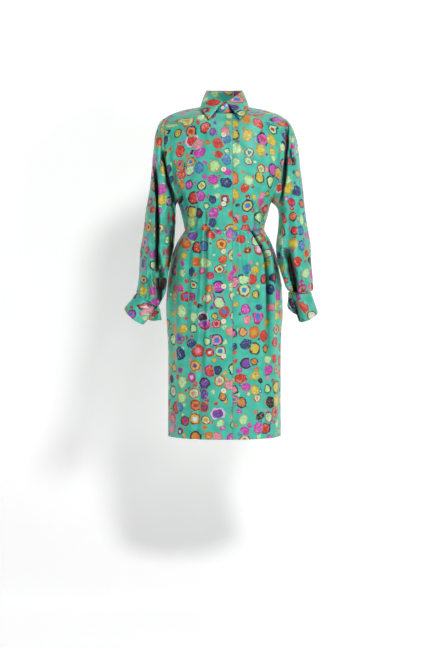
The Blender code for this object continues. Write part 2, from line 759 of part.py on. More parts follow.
def cuff(name, rings, end, side, collection, silk):
    def place(column, row):
        point = cuff_point(rings, end, column / CUFF_COLUMNS, row / CUFF_ROWS)
        return point if side > 0 else mirrored(point)

    cloth(name, CUFF_COLUMNS, CUFF_ROWS, place, silk, collection, turned=side > 0)


def collar(collection, silk):
    first_turn = -STAND_LAP_TURN
    columns = round((360 + 2 * STAND_LAP_TURN) / STAND_STEP)

    def stand(column, row):
        return stand_point(first_turn + STAND_STEP * column, row / 2)

    def leaf(column, row):
        turn = min(max(STAND_STEP * column, LEAF_FIRST_TURN), 360 - LEAF_FIRST_TURN)
        return leaf_point(turn, row)

    cloth("collar_stand", columns, 2, stand, silk, collection)
    cloth("collar_leaf", round(360 / STAND_STEP), LEAF_ROWS, leaf, silk, collection, turned=True)


def button(name, radius, seat, outwards, collection, shell):
    """A dished button, its outline turned."""
    mesh = bpy.data.meshes.new(name)
    points = [(point.radius_share * radius, 0, point.height) for point in BUTTON_PROFILE]
    mesh.from_pydata(points, [(i, i + 1) for i in range(len(points) - 1)], [])
    made = new_object(name, mesh, shell, collection)
    turned = made.modifiers.new("Turned", "SCREW")
    turned.steps = BUTTON_STEPS
    turned.render_steps = BUTTON_STEPS
    turned.use_merge_vertices = True
    turned.merge_threshold = 1e-5
    made.rotation_mode = "QUATERNION"
    made.rotation_quaternion = outwards.to_track_quat("Z", "Y")
    made.location = seat + outwards * SEAM


def seat_on(wall, x, z):
    """Where a wall's front lies at x and z, and its outward direction there."""
    in_front = Vector((x, RAY_Y, z))
    found, seat, outwards, _ = wall.evaluated_get(
        bpy.context.evaluated_depsgraph_get()
    ).ray_cast(in_front, Vector((0, 1, 0)))
    if not found:
        raise ValueError(f"{wall.name} has no cloth at x {x}, z {z}")
    return seat, outwards


def buttons(collection, shell):
    bpy.context.view_layer.update()
    bodice_z = [FIRST_BODICE_BUTTON_Z - BODICE_BUTTON_STEP * i for i in range(BODICE_BUTTONS)]
    skirt_z = [FIRST_SKIRT_BUTTON_Z - SKIRT_BUTTON_STEP * i for i in range(SKIRT_BUTTONS)]
    places = [("right_front_bodice", z) for z in bodice_z]
    places += [("right_front_skirt", z) for z in skirt_z]
    for number, (front, z) in enumerate(places, 1):
        seat, outwards = seat_on(bpy.data.objects[front], BUTTON_X, z)
        button(f"button_{number}", BUTTON_RADIUS, seat, outwards, collection, shell)
    seat, outwards = seat_on(bpy.data.objects["collar_stand"], STAND_BUTTON_X, STAND_BUTTON_Z)
    button("stand_button", STAND_BUTTON_RADIUS, seat, outwards, collection, shell)


def main():
    for old in list(bpy.data.objects):
        bpy.data.objects.remove(old)
    dress = bpy.data.collections.new("Shirt dress")
    bpy.context.scene.collection.children.link(dress)
    silk = material("Turquoise silk", (0.07, 0.50, 0.38), 0.42)
    shell = material("Cream button", (0.78, 0.70, 0.52), 0.25)
    bodice(dress, silk)
    yoke(dress, silk)
    skirt(dress, silk)
    sleeve("left_sleeve", LEFT_SLEEVE, LEFT_SLEEVE_FOLDS, 1, dress, silk)
    sleeve("right_sleeve", RIGHT_SLEEVE, RIGHT_SLEEVE_FOLDS, -1, dress, silk)
    cuff("left_cuff", LEFT_CUFF, LEFT_CUFF_END, 1, dress, silk)
    cuff("right_cuff", RIGHT_CUFF, RIGHT_CUFF_END, -1, dress, silk)
    collar(dress, silk)
    buttons(dress, shell)


main()
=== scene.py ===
import math
from typing import NamedTuple

import bpy
import numpy as np
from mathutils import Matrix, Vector, noise


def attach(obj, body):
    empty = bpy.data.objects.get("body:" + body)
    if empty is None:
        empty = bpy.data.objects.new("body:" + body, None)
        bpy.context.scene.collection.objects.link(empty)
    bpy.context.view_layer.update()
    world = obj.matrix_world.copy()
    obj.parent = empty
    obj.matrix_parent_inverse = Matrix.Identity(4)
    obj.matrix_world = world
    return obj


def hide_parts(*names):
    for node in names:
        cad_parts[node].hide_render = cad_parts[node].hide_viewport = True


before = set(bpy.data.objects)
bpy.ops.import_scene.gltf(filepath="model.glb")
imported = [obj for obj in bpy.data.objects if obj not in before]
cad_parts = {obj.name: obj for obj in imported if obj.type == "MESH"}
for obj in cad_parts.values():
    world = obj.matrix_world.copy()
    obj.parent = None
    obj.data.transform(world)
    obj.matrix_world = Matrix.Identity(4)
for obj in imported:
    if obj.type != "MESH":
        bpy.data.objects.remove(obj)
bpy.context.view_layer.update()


# ------------------------------------------------------------ the printed silk
# The cloth of every piece: a lustrous crepe silk, printed all over with loose
# dots and rings of many colours on turquoise. The print follows the cut cloth,
# so it reads each piece's own UV map, which is in metres of cloth.


def linear(red, green, blue):
    """A colour read off a screen, 0 to 255, as Blender's linear one."""
    shares = [c / 255 for c in (red, green, blue)]
    return tuple(s / 12.92 if s <= 0.04045 else ((s + 0.055) / 1.055) ** 2.4 for s in shares) + (1,)


class Wire:
    """A value or a vector on its way through a material's nodes."""

    def __init__(self, tree, socket):
        self.tree = tree
        self.socket = socket

    def node(self, kind, settings=None, out=0, stops=None, **values):
        """Adds a node of any kind: its settings first, then its sockets' values or links."""
        made = self.tree.nodes.new("ShaderNode" + kind)
        for name, value in (settings or {}).items():
            setattr(made, name, value)
        if stops:
            ramp = made.color_ramp
            while len(ramp.elements) < len(stops):
                ramp.elements.new(1.0)
            for element, (place, colour) in zip(ramp.elements, stops):
                element.position = place
                element.color = colour
        for name, value in values.items():
            key = int(name[1:]) if name[0] == "_" else name.replace("_", " ")
            socket = made.inputs[key]
            if isinstance(value, Wire):
                self.tree.links.new(value.socket, socket)
            else:
                socket.default_value = value
        return Wire(self.tree, made.outputs[out])

    def maths(self, operation, first, second):
        return self.node("Math", {"operation": operation}, _0=first, _1=second)

    def __add__(self, other):
        return self.maths("ADD", self, other)

    def __radd__(self, other):
        return self.maths("ADD", other, self)

    def __sub__(self, other):
        return self.maths("SUBTRACT", self, other)

    def __mul__(self, other):
        return self.maths("MULTIPLY", self, other)

    def __rmul__(self, other):
        return self.maths("MULTIPLY", other, self)

    def __truediv__(self, other):
        return self.maths("DIVIDE", self, other)

    def __lt__(self, other):
        return self.maths("LESS_THAN", self, other)

    def ramp(self, low, high, to_low=0.0, to_high=1.0):
        """This value smoothly taken from one range to another."""
        return self.node(
            "MapRange", {"interpolation_type": "SMOOTHSTEP"},
            Value=self, From_Min=low, From_Max=high, To_Min=to_low, To_Max=to_high,
        )

    def moved(self, operation, other=(0, 0, 0)):
        """Vector maths on this vector."""
        return self.node("VectorMath", {"operation": operation}, _0=self, _1=other)

    def scaled(self, factor):
        return self.node("VectorMath", {"operation": "SCALE"}, _0=self, _3=factor)

    def length(self):
        return self.node("VectorMath", {"operation": "LENGTH"}, out=1, _0=self)

    def blend(self, first, second, how="MIX"):
        """Two colours mixed by this value."""
        return self.node(
            "Mix", {"data_type": "RGBA", "blend_type": how}, out=2, _0=self, _6=first, _7=second
        )


DOT_COLOURS = (
    (0.00, linear(206, 52, 38)),
    (0.14, linear(212, 92, 40)),
    (0.21, linear(206, 128, 44)),
    (0.28, linear(208, 188, 60)),
    (0.44, linear(180, 230, 162)),
    (0.66, linear(200, 66, 178)),
    (0.78, linear(112, 62, 160)),
    (0.81, linear(38, 62, 120)),
    (0.87, linear(60, 128, 186)),
    (0.90, linear(228, 138, 158)),
    (0.95, linear(52, 26, 34)),
)
RING_COLOURS = (
    (0.00, linear(164, 30, 36)),
    (0.22, linear(190, 84, 34)),
    (0.34, linear(24, 42, 84)),
    (0.56, linear(52, 24, 34)),
    (0.72, linear(150, 34, 140)),
    (0.84, linear(168, 158, 48)),
    (0.95, linear(226, 190, 220)),
)
CENTRE_COLOURS = (
    (0.00, linear(224, 128, 150)),
    (0.18, linear(214, 214, 232)),
    (0.30, linear(60, 124, 196)),
    (0.52, linear(206, 160, 48)),
    (0.72, linear(186, 44, 40)),
    (0.88, linear(132, 52, 156)),
)
GROUND = linear(74, 198, 174)
GROUND_DEEP = linear(56, 180, 156)
# painted shade: the dark colour multiplied into the cloth in folds and where other cloth lies near
PAINTED_FOLD_SHADE = (0.05, 0.10, 0.10, 1)
BLUSH = (0.95, 0.80, 0.74, 1)
BRUSH_STROKE = (0.30, 0.12, 0.16, 1)
PALE_STROKE = (0.86, 0.84, 0.62, 1)
DARK_RIM = (0.30, 0.12, 0.14, 1)
FLAT = {"noise_dimensions": "2D"}
SPOTS = {"voronoi_dimensions": "2D", "feature": "F1"}
SPOT_BORDERS = {"voronoi_dimensions": "2D", "feature": "DISTANCE_TO_EDGE"}
STRAY = 0.62  # how far the dots stray from an even grid
EDGE_NOISE, EDGE_WOBBLE = 85.0, 0.0085  # how finely and how far a dot's outline wavers
SOAK = 0.0007  # half the width over which a dot's edge goes over into the ground
DOT_TURNS = 6.28  # radians over which the dots are turned
HAS_HEART = 0.45  # the share of ringed dots that have a heart


def print_layer(cloth_at, ground, cell, small, large, seed, ringed, filled=1.0):
    """One scattering of dots over the ground: its colour, and how far outside a dot each place is."""
    shifted = cloth_at.moved("ADD", (seed * 1.37, seed * 0.73, 0))
    wobble = shifted.node("TexNoise", FLAT, out=1, Vector=shifted, Scale=EDGE_NOISE, Detail=2.0)
    bent = shifted.moved("ADD", wobble.moved("SUBTRACT", (0.5, 0.5, 0.5)).scaled(EDGE_WOBBLE))
    scaled = bent.scaled(1 / cell)
    colour = scaled.node("TexVoronoi", SPOTS, out=1, Vector=scaled, Scale=1.0, Randomness=STRAY)
    centre = scaled.node("TexVoronoi", SPOTS, out=2, Vector=scaled, Scale=1.0, Randomness=STRAY)
    border = scaled.node("TexVoronoi", SPOT_BORDERS, Vector=scaled, Scale=1.0, Randomness=STRAY)
    dice = [colour.node("SeparateColor", out=i, Color=colour) for i in range(3)]
    more = centre.node("TexWhiteNoise", FLAT, out=1, Vector=centre)
    dice += [more.node("SeparateColor", out=i, Color=more) for i in range(3)]
    aside = scaled.moved("SUBTRACT", centre)
    turned = aside.node(
        "VectorRotate", {"rotation_type": "Z_AXIS"}, Vector=aside, Angle=dice[3] * DOT_TURNS
    )
    oval = turned.moved("MULTIPLY", turned.node("CombineXYZ", X=dice[4] * 0.5 + 0.85, Y=1.0, Z=0.0))
    away = oval.length() * cell
    size = small + (large - small) * dice[5]
    share = away / size
    outside = away - size
    cut = border * cell
    ink = outside.ramp(-SOAK, SOAK, 1.0, 0.0) * cut.ramp(0.0008, 0.0020)
    if filled < 1:
        ink = ink * (dice[3] < filled)
    body = dice[0].node("ValToRGB", stops=DOT_COLOURS, Fac=dice[0])
    ring = dice[1].node("ValToRGB", stops=RING_COLOURS, Fac=dice[1])
    heart = dice[2].node("ValToRGB", stops=CENTRE_COLOURS, Fac=dice[2])
    for drawn in (body, ring, heart):
        drawn.socket.node.color_ramp.interpolation = "CONSTANT"
    wash = scaled.node("TexNoise", FLAT, Vector=scaled, Scale=9.0, Detail=3.0, Roughness=0.6)
    stroke = scaled.node("TexNoise", FLAT, Vector=scaled, Scale=5.0, Detail=2.0, Distortion=1.6)
    body = wash.ramp(0.42, 0.72, 0.0, 0.55).blend(body, BLUSH, "SOFT_LIGHT")
    body = stroke.ramp(0.52, 0.66, 0.0, 0.5).blend(body, BRUSH_STROKE, "MULTIPLY")
    body = stroke.ramp(0.30, 0.42, 0.35, 0.0).blend(body, PALE_STROKE)
    body = share.ramp(0.70, 0.98, 0.0, 0.60).blend(body, DARK_RIM, "MULTIPLY")
    has_ring = dice[4] < ringed
    edge = share + wash * 0.30
    ring_mask = edge.ramp(0.86, 0.95) * has_ring
    body = ring_mask.blend(body, ring)
    has_heart = dice[1] < HAS_HEART
    heart_mask = edge.ramp(0.50, 0.62, 1.0, 0.0) * has_heart * has_ring
    body = heart_mask.blend(body, heart)
    return ink.blend(ground, body), outside


# the reach of the painted shade that darkens the cloth's colour in folds and near other cloth
PAINTED_SHADE_REACH = 0.022  # how far away other cloth still shades a place


def material(name):
    """A new material, its node tree and its shader."""
    made = bpy.data.materials.new(name)
    made.use_nodes = True
    return made, made.node_tree, made.node_tree.nodes["Principled BSDF"]


def silk(name, seed):
    """A printed silk for one cut piece; each piece takes another stretch of the cloth."""
    made, tree, shader = material(name)
    cloth_at = Wire(tree, None).node("UVMap", {"uv_map": "Cloth"})
    cloth_at = cloth_at.moved("ADD", (seed * 3.1, seed * 1.7, 0))
    streak = cloth_at.node("TexNoise", FLAT, Vector=cloth_at, Scale=30.0, Detail=3.0)
    ground = streak.ramp(0.3, 0.7).blend(GROUND_DEEP, GROUND)
    fine, _ = print_layer(
        cloth_at, ground, cell=0.034, small=0.0050, large=0.0105, seed=11, ringed=0.35, filled=0.85
    )
    big, outside = print_layer(
        cloth_at, ground, cell=0.0430, small=0.0125, large=0.0215, seed=4, ringed=0.62
    )
    colour = outside.ramp(0.0020, 0.0030).blend(big, fine)
    # Painted shade: the cloth's colour is darkened towards near-black by how closed in each place is, in
    # deep folds, at seams and near other cloth.
    open_to_light = colour.node("AmbientOcclusion", {"samples": 8}, out=1, Distance=PAINTED_SHADE_REACH)
    colour = open_to_light.ramp(0.30, 0.86, 0.92, 0.0).blend(colour, PAINTED_FOLD_SHADE, "MULTIPLY")
    tree.links.new(colour.socket, shader.inputs["Base Color"])
    slub = cloth_at.node("TexNoise", FLAT, Vector=cloth_at, Scale=160.0, Detail=4.0)
    tree.links.new(slub.ramp(0.2, 0.8, 0.36, 0.52).socket, shader.inputs["Roughness"])
    soft = cloth_at.node("TexNoise", FLAT, Vector=cloth_at, Scale=26.0, Detail=2.5)
    weave = cloth_at.node(
        "TexWave", {"bands_direction": "DIAGONAL"}, out=1, Vector=cloth_at, Scale=420.0, Distortion=0.6
    )
    height = soft * 0.0016 + slub * 0.00012 + weave * 0.00003
    bump = height.node("Bump", Height=height, Strength=0.75, Distance=1.0)
    tree.links.new(bump.socket, shader.inputs["Normal"])
    shader.inputs["Sheen Weight"].default_value = 0.08
    shader.inputs["Sheen Roughness"].default_value = 0.4
    shader.inputs["Specular IOR Level"].default_value = 0.5
    return made


# ------------------------------------------------------------ the bodice's two fronts
# Two shaped fronts of silk from the waist to the shoulder, gathered softly into
# darts at the waist. Each has a band down the centre, and the right one laps
# over the left one, where three buttons hold them.

WALL = 0.0011
SEAM_HALF = 0.0035  # how far from a seam the cloth has risen to its full height
SEAM_PUFF = 0.0009
WAIST_Z = -0.394
HEM_Z = -1.053
UNDERARM_Z = -0.304


class Profile(NamedTuple):
    """How far the cloth stands before and behind the plane of the side seams, at a height."""

    z: float
    front: float
    back: float


class SideSeam(NamedTuple):
    z: float
    half_width: float


class BodiceRow(NamedTuple):
    """A level of the bodice, from the centre or the neck to the side or the armhole."""

    row: float
    centre_z: float
    turn: float
    bulge: float
    ease: float
    crown: float


class Ring(NamedTuple):
    """A ring of a sleeve, by its outermost and innermost points seen from the front."""

    ring: float
    outer_x: float
    outer_z: float
    inner_x: float
    inner_z: float
    middle_y: float
    half_depth: float
    swell: float
    back_rise: float = 0.0


class Crease(NamedTuple):
    """A crease between two places seen from the front or the back: a trough with a ridge on each side."""

    x0: float
    z0: float
    x1: float
    z1: float
    bow: float  # how far its middle lies aside, towards +X
    width: float
    depth: float
    left: float  # the ridge on its -X side, as a share of the depth
    right: float
    lean: float = 0.0  # not 0 for a deep fold: how far a ridge hangs over it, + the -X one, - the +X one


PROFILE = (
    Profile(HEM_Z, 0.119, 0.127),
    Profile(-0.850, 0.122, 0.130),
    Profile(-0.650, 0.1255, 0.133),
    Profile(-0.570, 0.124, 0.130),
    Profile(-0.500, 0.119, 0.120),
    Profile(-0.440, 0.110, 0.102),
    Profile(WAIST_Z, 0.098, 0.083),
    Profile(-0.350, 0.106, 0.091),
    Profile(-0.300, 0.113, 0.100),
    Profile(-0.250, 0.1195, 0.106),
    Profile(-0.200, 0.122, 0.1095),
    Profile(-0.150, 0.1175, 0.109),
    Profile(-0.104, 0.107, 0.1035),
    Profile(-0.060, 0.092, 0.088),
    Profile(-0.028, 0.077, 0.075),
    Profile(0.008, 0.070, 0.062),
)
SIDE_SEAM = (
    SideSeam(HEM_Z, 0.181),
    SideSeam(-0.950, 0.1805),
    SideSeam(-0.745, 0.1805),
    SideSeam(-0.650, 0.1845),
    SideSeam(-0.570, 0.1805),
    SideSeam(-0.515, 0.1725),
    SideSeam(-0.475, 0.1635),
    SideSeam(-0.440, 0.151),
    SideSeam(-0.420, 0.1405),
    SideSeam(WAIST_Z, 0.127),
    SideSeam(-0.352, 0.135),
    SideSeam(-0.325, 0.142),
    SideSeam(UNDERARM_Z, 0.149),
)
UNDERARM_ROW, CHEST_ROW, FRONT_TOP_ROW = 4, 12, 17
YOKE_NECK_ROW, YOKE_TOP_ROW = 16, 23
CHEST_TURN, FRONT_SEAM_TURN, NECK_SEAM_TURN = 60.0, 15.0, 75.0
FRONT_ROWS = (
    BodiceRow(0, WAIST_Z, 90.0, 0.0, 2.0, 0.0),
    BodiceRow(UNDERARM_ROW, -0.292, 88.0, 0.0, 2.0, 0.0),
    BodiceRow(8, -0.160, 62.0, 0.0, 2.0, 0.0),
    BodiceRow(10, -0.094, 52.0, 0.004, 2.1, 0.0),
    BodiceRow(CHEST_ROW, -0.028, 42.0, 0.014, 2.2, 0.0),
    BodiceRow(14, -0.024, 32.0, 0.010, 1.6, 0.2),
    BodiceRow(FRONT_TOP_ROW, -0.010, 18.0, 0.001, 1.0, 0.5),
)
ARMHOLE = Ring(0, 0.188, -0.037, 0.149, UNDERARM_Z, 0.0, 0.068, 0.018)
NECK_HALF_WIDTH, NECK_FRONT, NECK_BACK = 0.066, 0.077, 0.062
NECK_SIDE_Z, NECK_TILT, NECK_DIP = -0.007, 0.018, 0.003


def along(table, at):
    """The row of a table at a value of its first column, on a smooth curve through its rows."""
    last = len(table) - 1
    step = max(i for i in range(last) if i == 0 or table[i][0] <= at)
    low, high = table[step], table[step + 1]
    span = high[0] - low[0]
    t = (at - low[0]) / span

    def slope(i, column):
        before, after = table[max(i - 1, 0)], table[min(i + 1, last)]
        return (after[column] - before[column]) / (after[0] - before[0])

    def value(column):
        a, b = low[column], high[column]
        start, end = slope(step, column), slope(step + 1, column)
        curve = (2 * a - 2 * b + span * (start + end)) * t**3
        curve += (3 * b - 3 * a - span * (2 * start + end)) * t**2
        return curve + span * start * t + a

    return type(low)(*(value(column) for column in range(len(low))))


def smooth(low, high, value):
    """0 below low, 1 above high, and an S-curve between them."""
    t = np.clip((value - low) / (high - low), 0.0, 1.0)
    return t * t * (3 - 2 * t)


def between(low, high, share):
    return low + (high - low) * share


def points(x, y, z):
    """Coordinates, some of them single numbers, as one array of points."""
    return np.stack(np.broadcast_arrays(x, y, z), axis=-1).astype(float)


def neckline(turn):
    """A point of the neck seam, by its turn from the centre front to the wearer's left."""
    angle = np.radians(turn)
    depth = np.where(np.cos(angle) > 0, NECK_FRONT, NECK_BACK)
    z = NECK_SIDE_Z - NECK_TILT * np.cos(angle) - NECK_DIP * np.cos(angle) ** 2
    return points(NECK_HALF_WIDTH * np.sin(angle), -depth * np.cos(angle), z)


def on_ring(ring, turn):
    """Points of a ring: 0 degrees at its outermost point, 90 at the front, 180 innermost."""
    angle = np.radians(turn)
    middle_x = (ring.outer_x + ring.inner_x) / 2
    middle_z = (ring.outer_z + ring.inner_z) / 2
    x = middle_x + (ring.outer_x - middle_x) * np.cos(angle) + ring.swell * np.sin(angle) ** 2
    y = ring.middle_y - ring.half_depth * np.sin(angle)
    z = middle_z + (ring.outer_z - middle_z) * np.cos(angle)
    return points(x, y, z + ring.back_rise * (1 - np.sin(angle)) / 2)


def armhole_end(row, way, last_turn, last_row):
    """Where a level of the bodice ends: on the side seam, or above it on the armhole."""
    if row <= UNDERARM_ROW:
        z = between(WAIST_Z, UNDERARM_Z, row / UNDERARM_ROW)
        return points(along(SIDE_SEAM, z).half_width, 0.0, z)
    chest = CHEST_TURN if way < 0 else 360 - CHEST_TURN
    if row <= CHEST_ROW:
        turn = between(180.0, chest, (row - UNDERARM_ROW) / (CHEST_ROW - UNDERARM_ROW))
    else:
        turn = between(chest, last_turn, (row - CHEST_ROW) / (last_row - CHEST_ROW))
    return on_ring(ARMHOLE, turn)


def bodice_level(shape, start, end, across, way):
    """One level of the bodice, at shares of the way across from its start to its end."""
    turn = math.radians(shape.turn)
    bend = (1 - np.cos(turn * across)) / (1 - math.cos(turn))
    fall = (1 - shape.crown) * np.abs(across) ** shape.ease + shape.crown * across**4
    x = between(start[0], end[0], np.sin(turn * across) / math.sin(turn))
    y = between(start[1], end[1], bend) + way * shape.bulge * np.sin(math.pi * across) ** 2
    return points(x, y, between(start[2], end[2], fall))


def spread(low, high, step):
    """Evenly spaced values from low to high, no further apart than step."""
    return np.linspace(low, high, int(math.ceil(abs(high - low) / step)) + 1)


def lengths(grid, axis):
    """How far along the cloth each point of a grid lies from its first row or column."""
    steps = np.linalg.norm(np.diff(grid, axis=axis), axis=2)
    start = np.zeros_like(np.take(steps, [0], axis=axis))
    return np.concatenate([start, np.cumsum(steps, axis=axis)], axis=axis)


def facing(grid, way):
    """Each point's direction out of the dress; way is 1 or -1, by how columns and rows run."""
    out = np.cross(np.gradient(grid, axis=1), np.gradient(grid, axis=0))
    return way * out / np.maximum(np.linalg.norm(out, axis=2, keepdims=True), 1e-12)


def free_of_seams(grid, sewn):
    """0 on a sewn edge and 1 a little way in; sewn names first or last rows, start or end columns."""
    rows, columns = lengths(grid, 0), lengths(grid, 1)
    free = np.ones(grid.shape[:2])
    for edge in sewn:
        away = {
            "first": rows,
            "last": rows[-1:] - rows,
            "start": columns,
            "end": columns[:, -1:] - columns,
        }[edge]
        free = free * (1 - np.exp(-((away / SEAM_HALF) ** 2)))
    return free


def creased(grid, out, creases, free, side):
    """The grid with its creases pressed in, on its front (side -1) or its back (side 1).

    A deep one, with a lean, has steep sides and goes straight in, the others go in along the normal.
    """
    x, z = grid[..., 0], grid[..., 2]
    seen = smooth(-0.15, 0.35, out[..., 1] * side)
    move, slide = np.zeros(x.shape), np.zeros(grid.shape)
    straight_in = np.zeros(x.shape)
    for number, crease in enumerate(creases):
        run = np.array([crease.x1 - crease.x0, crease.z1 - crease.z0])
        length = np.linalg.norm(run)
        run /= length
        t = ((x - crease.x0) * run[0] + (z - crease.z0) * run[1]) / length
        aside = (x - crease.x0) * -run[1] + (z - crease.z0) * run[0]
        if run[1] < 0:
            aside = -aside
        aside = -aside - crease.bow * 4 * t * (1 - t)
        uneven = 1 + 0.22 * np.sin(13 * t + 2.1 * number) + 0.13 * np.sin(29 * t + number)
        ends = np.where((t > 0) & (t < 1), np.clip(4 * t * (1 - t), 0, 1) ** 0.6, 0.0)
        near = aside / (crease.width * uneven)
        form = -np.exp(-np.abs(near) ** (4 if crease.lean else 2))
        form += crease.left * np.exp(-((near + 1.7) ** 2)) + crease.right * np.exp(-((near - 1.7) ** 2))
        pressed = crease.depth * ends * form * seen
        if crease.lean:
            straight_in += pressed
        else:
            move += pressed
        from_ridge = (near + 1.1 * math.copysign(1, crease.lean)) / 0.9
        over = crease.lean * ends * seen * np.exp(-(from_ridge**2))
        slide += over[..., None] * np.array([abs(run[1]), 0, -math.copysign(1, run[1]) * run[0]])
    slide -= out * (slide * out).sum(axis=2, keepdims=True)
    slide[..., 1] += side * straight_in
    return grid + (out * move[..., None] + slide) * free[..., None]


def rumpled(grid, out, free, size, height, seed, stretch=(1, 1, 1)):
    """The grid with the soft unevenness of hanging cloth."""
    places = grid.reshape(-1, 3) / size * np.array(stretch) + np.array([0, 0, seed])
    waves = np.array([noise.noise(Vector(place)) for place in places])
    return grid + out * (height * waves.reshape(grid.shape[:2]) * free)[..., None]


def laid_out(grid, start=0):
    """Where each point of the grid lay on the flat cloth, measured along the rows from one column."""
    along_rows, up_columns = lengths(grid, 1), lengths(grid, 0)
    across = along_rows - along_rows[:, [start]]
    up = np.broadcast_to(up_columns.mean(axis=1, keepdims=True), across.shape)
    return np.stack([across, 0.35 * up + 0.65 * up_columns], axis=-1)


def into_folds(flat_at, before, grid, out):
    """The flat places again, with the cloth that a deep fold takes in laid out over the fold's two walls."""
    sunk = np.minimum(((grid - before) * out).sum(axis=2) + SHALLOW, 0)
    way_in = np.where(np.gradient(sunk, axis=1) < 0, -1, 1)
    return flat_at + np.stack([way_in * sunk, 0 * sunk], axis=-1)


def cloth(name, grid, way, seed, flat_at, thickness=WALL, keep=None):
    """A finished piece from a grid of points on its outer face and where each lay on the flat cloth."""
    rows, columns = grid.shape[0] - 1, grid.shape[1] - 1
    bpy.ops.object.select_all(action="DESELECT")
    bpy.ops.mesh.primitive_grid_add(x_subdivisions=columns, y_subdivisions=rows, size=1)
    made = bpy.context.object
    made.name = made.data.name = name
    mesh = made.data
    mesh.vertices.foreach_set("co", grid.reshape(-1))
    layer = mesh.uv_layers[0]
    layer.name = "Cloth"
    corners = np.empty(len(mesh.loops), dtype=int)
    mesh.loops.foreach_get("vertex_index", corners)
    layer.data.foreach_set("uv", flat_at.reshape(-1, 2)[corners].reshape(-1))
    bpy.ops.object.mode_set(mode="EDIT")
    if keep is not None:
        bpy.ops.mesh.select_all(action="DESELECT")
        bpy.ops.mesh.select_mode(type="FACE")
        bpy.ops.object.mode_set(mode="OBJECT")
        for face in mesh.polygons:
            face.select = not keep[face.index // columns, face.index % columns]
        bpy.ops.object.mode_set(mode="EDIT")
        bpy.ops.mesh.delete(type="FACE")
        bpy.ops.mesh.select_all(action="SELECT")
        bpy.ops.mesh.remove_doubles(threshold=1e-6)
    bpy.ops.mesh.select_all(action="SELECT")
    if way < 0:
        bpy.ops.mesh.flip_normals()
    bpy.ops.object.mode_set(mode="OBJECT")
    wall = made.modifiers.new("Cloth", "SOLIDIFY")
    wall.thickness = thickness
    wall.offset = -1
    bpy.ops.object.modifier_apply(modifier=wall.name)
    bpy.ops.object.shade_smooth()
    made.data.materials.append(silk(name + "_silk", seed))
    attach(made, "root")
    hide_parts(name.removesuffix("_cloth"))
    return made


SHALLOW = 0.006  # a fold less deep than this hardly moves the print
OVERLAP, UNDERLAP = 0.025, 0.021
TUCK, TUCK_DROP = 0.0026, 0.002
STEPS_A_ROW = 6  # levels of a bodice's grid to one row of its table
FRONT_ACROSS = spread(0, 1, 0.018)
FRONT_UP = np.linspace(0, FRONT_TOP_ROW, STEPS_A_ROW * FRONT_TOP_ROW + 1)
LAP_STEPS = 7

RIGHT_FRONT_CREASES = (
    Crease(-0.062, -0.392, -0.060, -0.330, 0.002, 0.0040, 0.0063, 0.5, 0.5),
    Crease(-0.098, -0.392, -0.090, -0.300, 0.004, 0.0063, 0.0063, 0.4, 0.4),
    Crease(-0.030, -0.390, -0.034, -0.345, 0.002, 0.0054, 0.0028, 0.4, 0.4),
    Crease(-0.165, -0.205, -0.110, -0.330, -0.010, 0.0090, 0.0070, 0.4, 0.4),
    Crease(-0.172, -0.130, -0.140, -0.290, -0.012, 0.0108, 0.0063, 0.3, 0.5),
    Crease(-0.150, -0.060, -0.095, -0.120, 0.006, 0.0108, 0.0035, 0.4, 0.3),
    Crease(-0.115, -0.050, -0.070, -0.150, 0.008, 0.0126, 0.0028, 0.3, 0.3),
)
LEFT_FRONT_CREASES = (
    Crease(0.099, -0.392, 0.098, -0.330, -0.002, 0.0040, 0.0070, 0.5, 0.5),
    Crease(0.062, -0.392, 0.058, -0.345, 0.002, 0.0049, 0.0042, 0.4, 0.4),
    Crease(0.120, -0.390, 0.112, -0.300, 0.004, 0.0072, 0.0056, 0.4, 0.4),
    Crease(0.168, -0.200, 0.112, -0.320, 0.010, 0.0090, 0.0077, 0.4, 0.4),
    Crease(0.176, -0.120, 0.150, -0.280, 0.010, 0.0099, 0.0063, 0.5, 0.3),
    Crease(0.150, -0.062, 0.108, -0.130, -0.006, 0.0108, 0.0035, 0.4, 0.3),
    Crease(0.045, -0.120, 0.060, -0.250, 0.010, 0.0162, 0.0028, 0.3, 0.3),
)


def front_grid(lap):
    """The wearer's left front: its levels from the waist up, from its lapped edge to the side."""
    levels = []
    for row in FRONT_UP:
        shape = along(FRONT_ROWS, row)
        end = armhole_end(row, -1, FRONT_SEAM_TURN, FRONT_TOP_ROW)
        if row <= CHEST_ROW:
            start = points(0.0, -along(PROFILE, shape.centre_z).front, shape.centre_z)
        else:
            start = neckline(NECK_SEAM_TURN * (row - CHEST_ROW) / (FRONT_TOP_ROW - CHEST_ROW))
        turn = math.radians(shape.turn)
        past = math.asin(lap * math.sin(turn) / end[0]) / turn
        across = np.concatenate([np.linspace(-past, 0, LAP_STEPS, endpoint=False), FRONT_ACROSS])
        levels.append(bodice_level(shape, start, end, across, -1))
    return np.array(levels)


def tucked(grid, drop=TUCK_DROP):
    """The grid moved behind the right front near the centre, and down at the neck."""
    near = 1 - smooth(0.029, 0.046, grid[..., 0])
    down = drop * smooth(-0.080, NECK_SIDE_Z - NECK_TILT, grid[..., 2])
    return grid + np.stack([0 * near, TUCK * near, -down * near], axis=-1)


def mirrored(grid):
    return grid * np.array([-1.0, 1.0, 1.0])


below_neck = np.ones((len(FRONT_UP) - 1, len(FRONT_ACROSS) - 1 + LAP_STEPS), dtype=bool)
below_neck[STEPS_A_ROW * CHEST_ROW :, :LAP_STEPS] = False


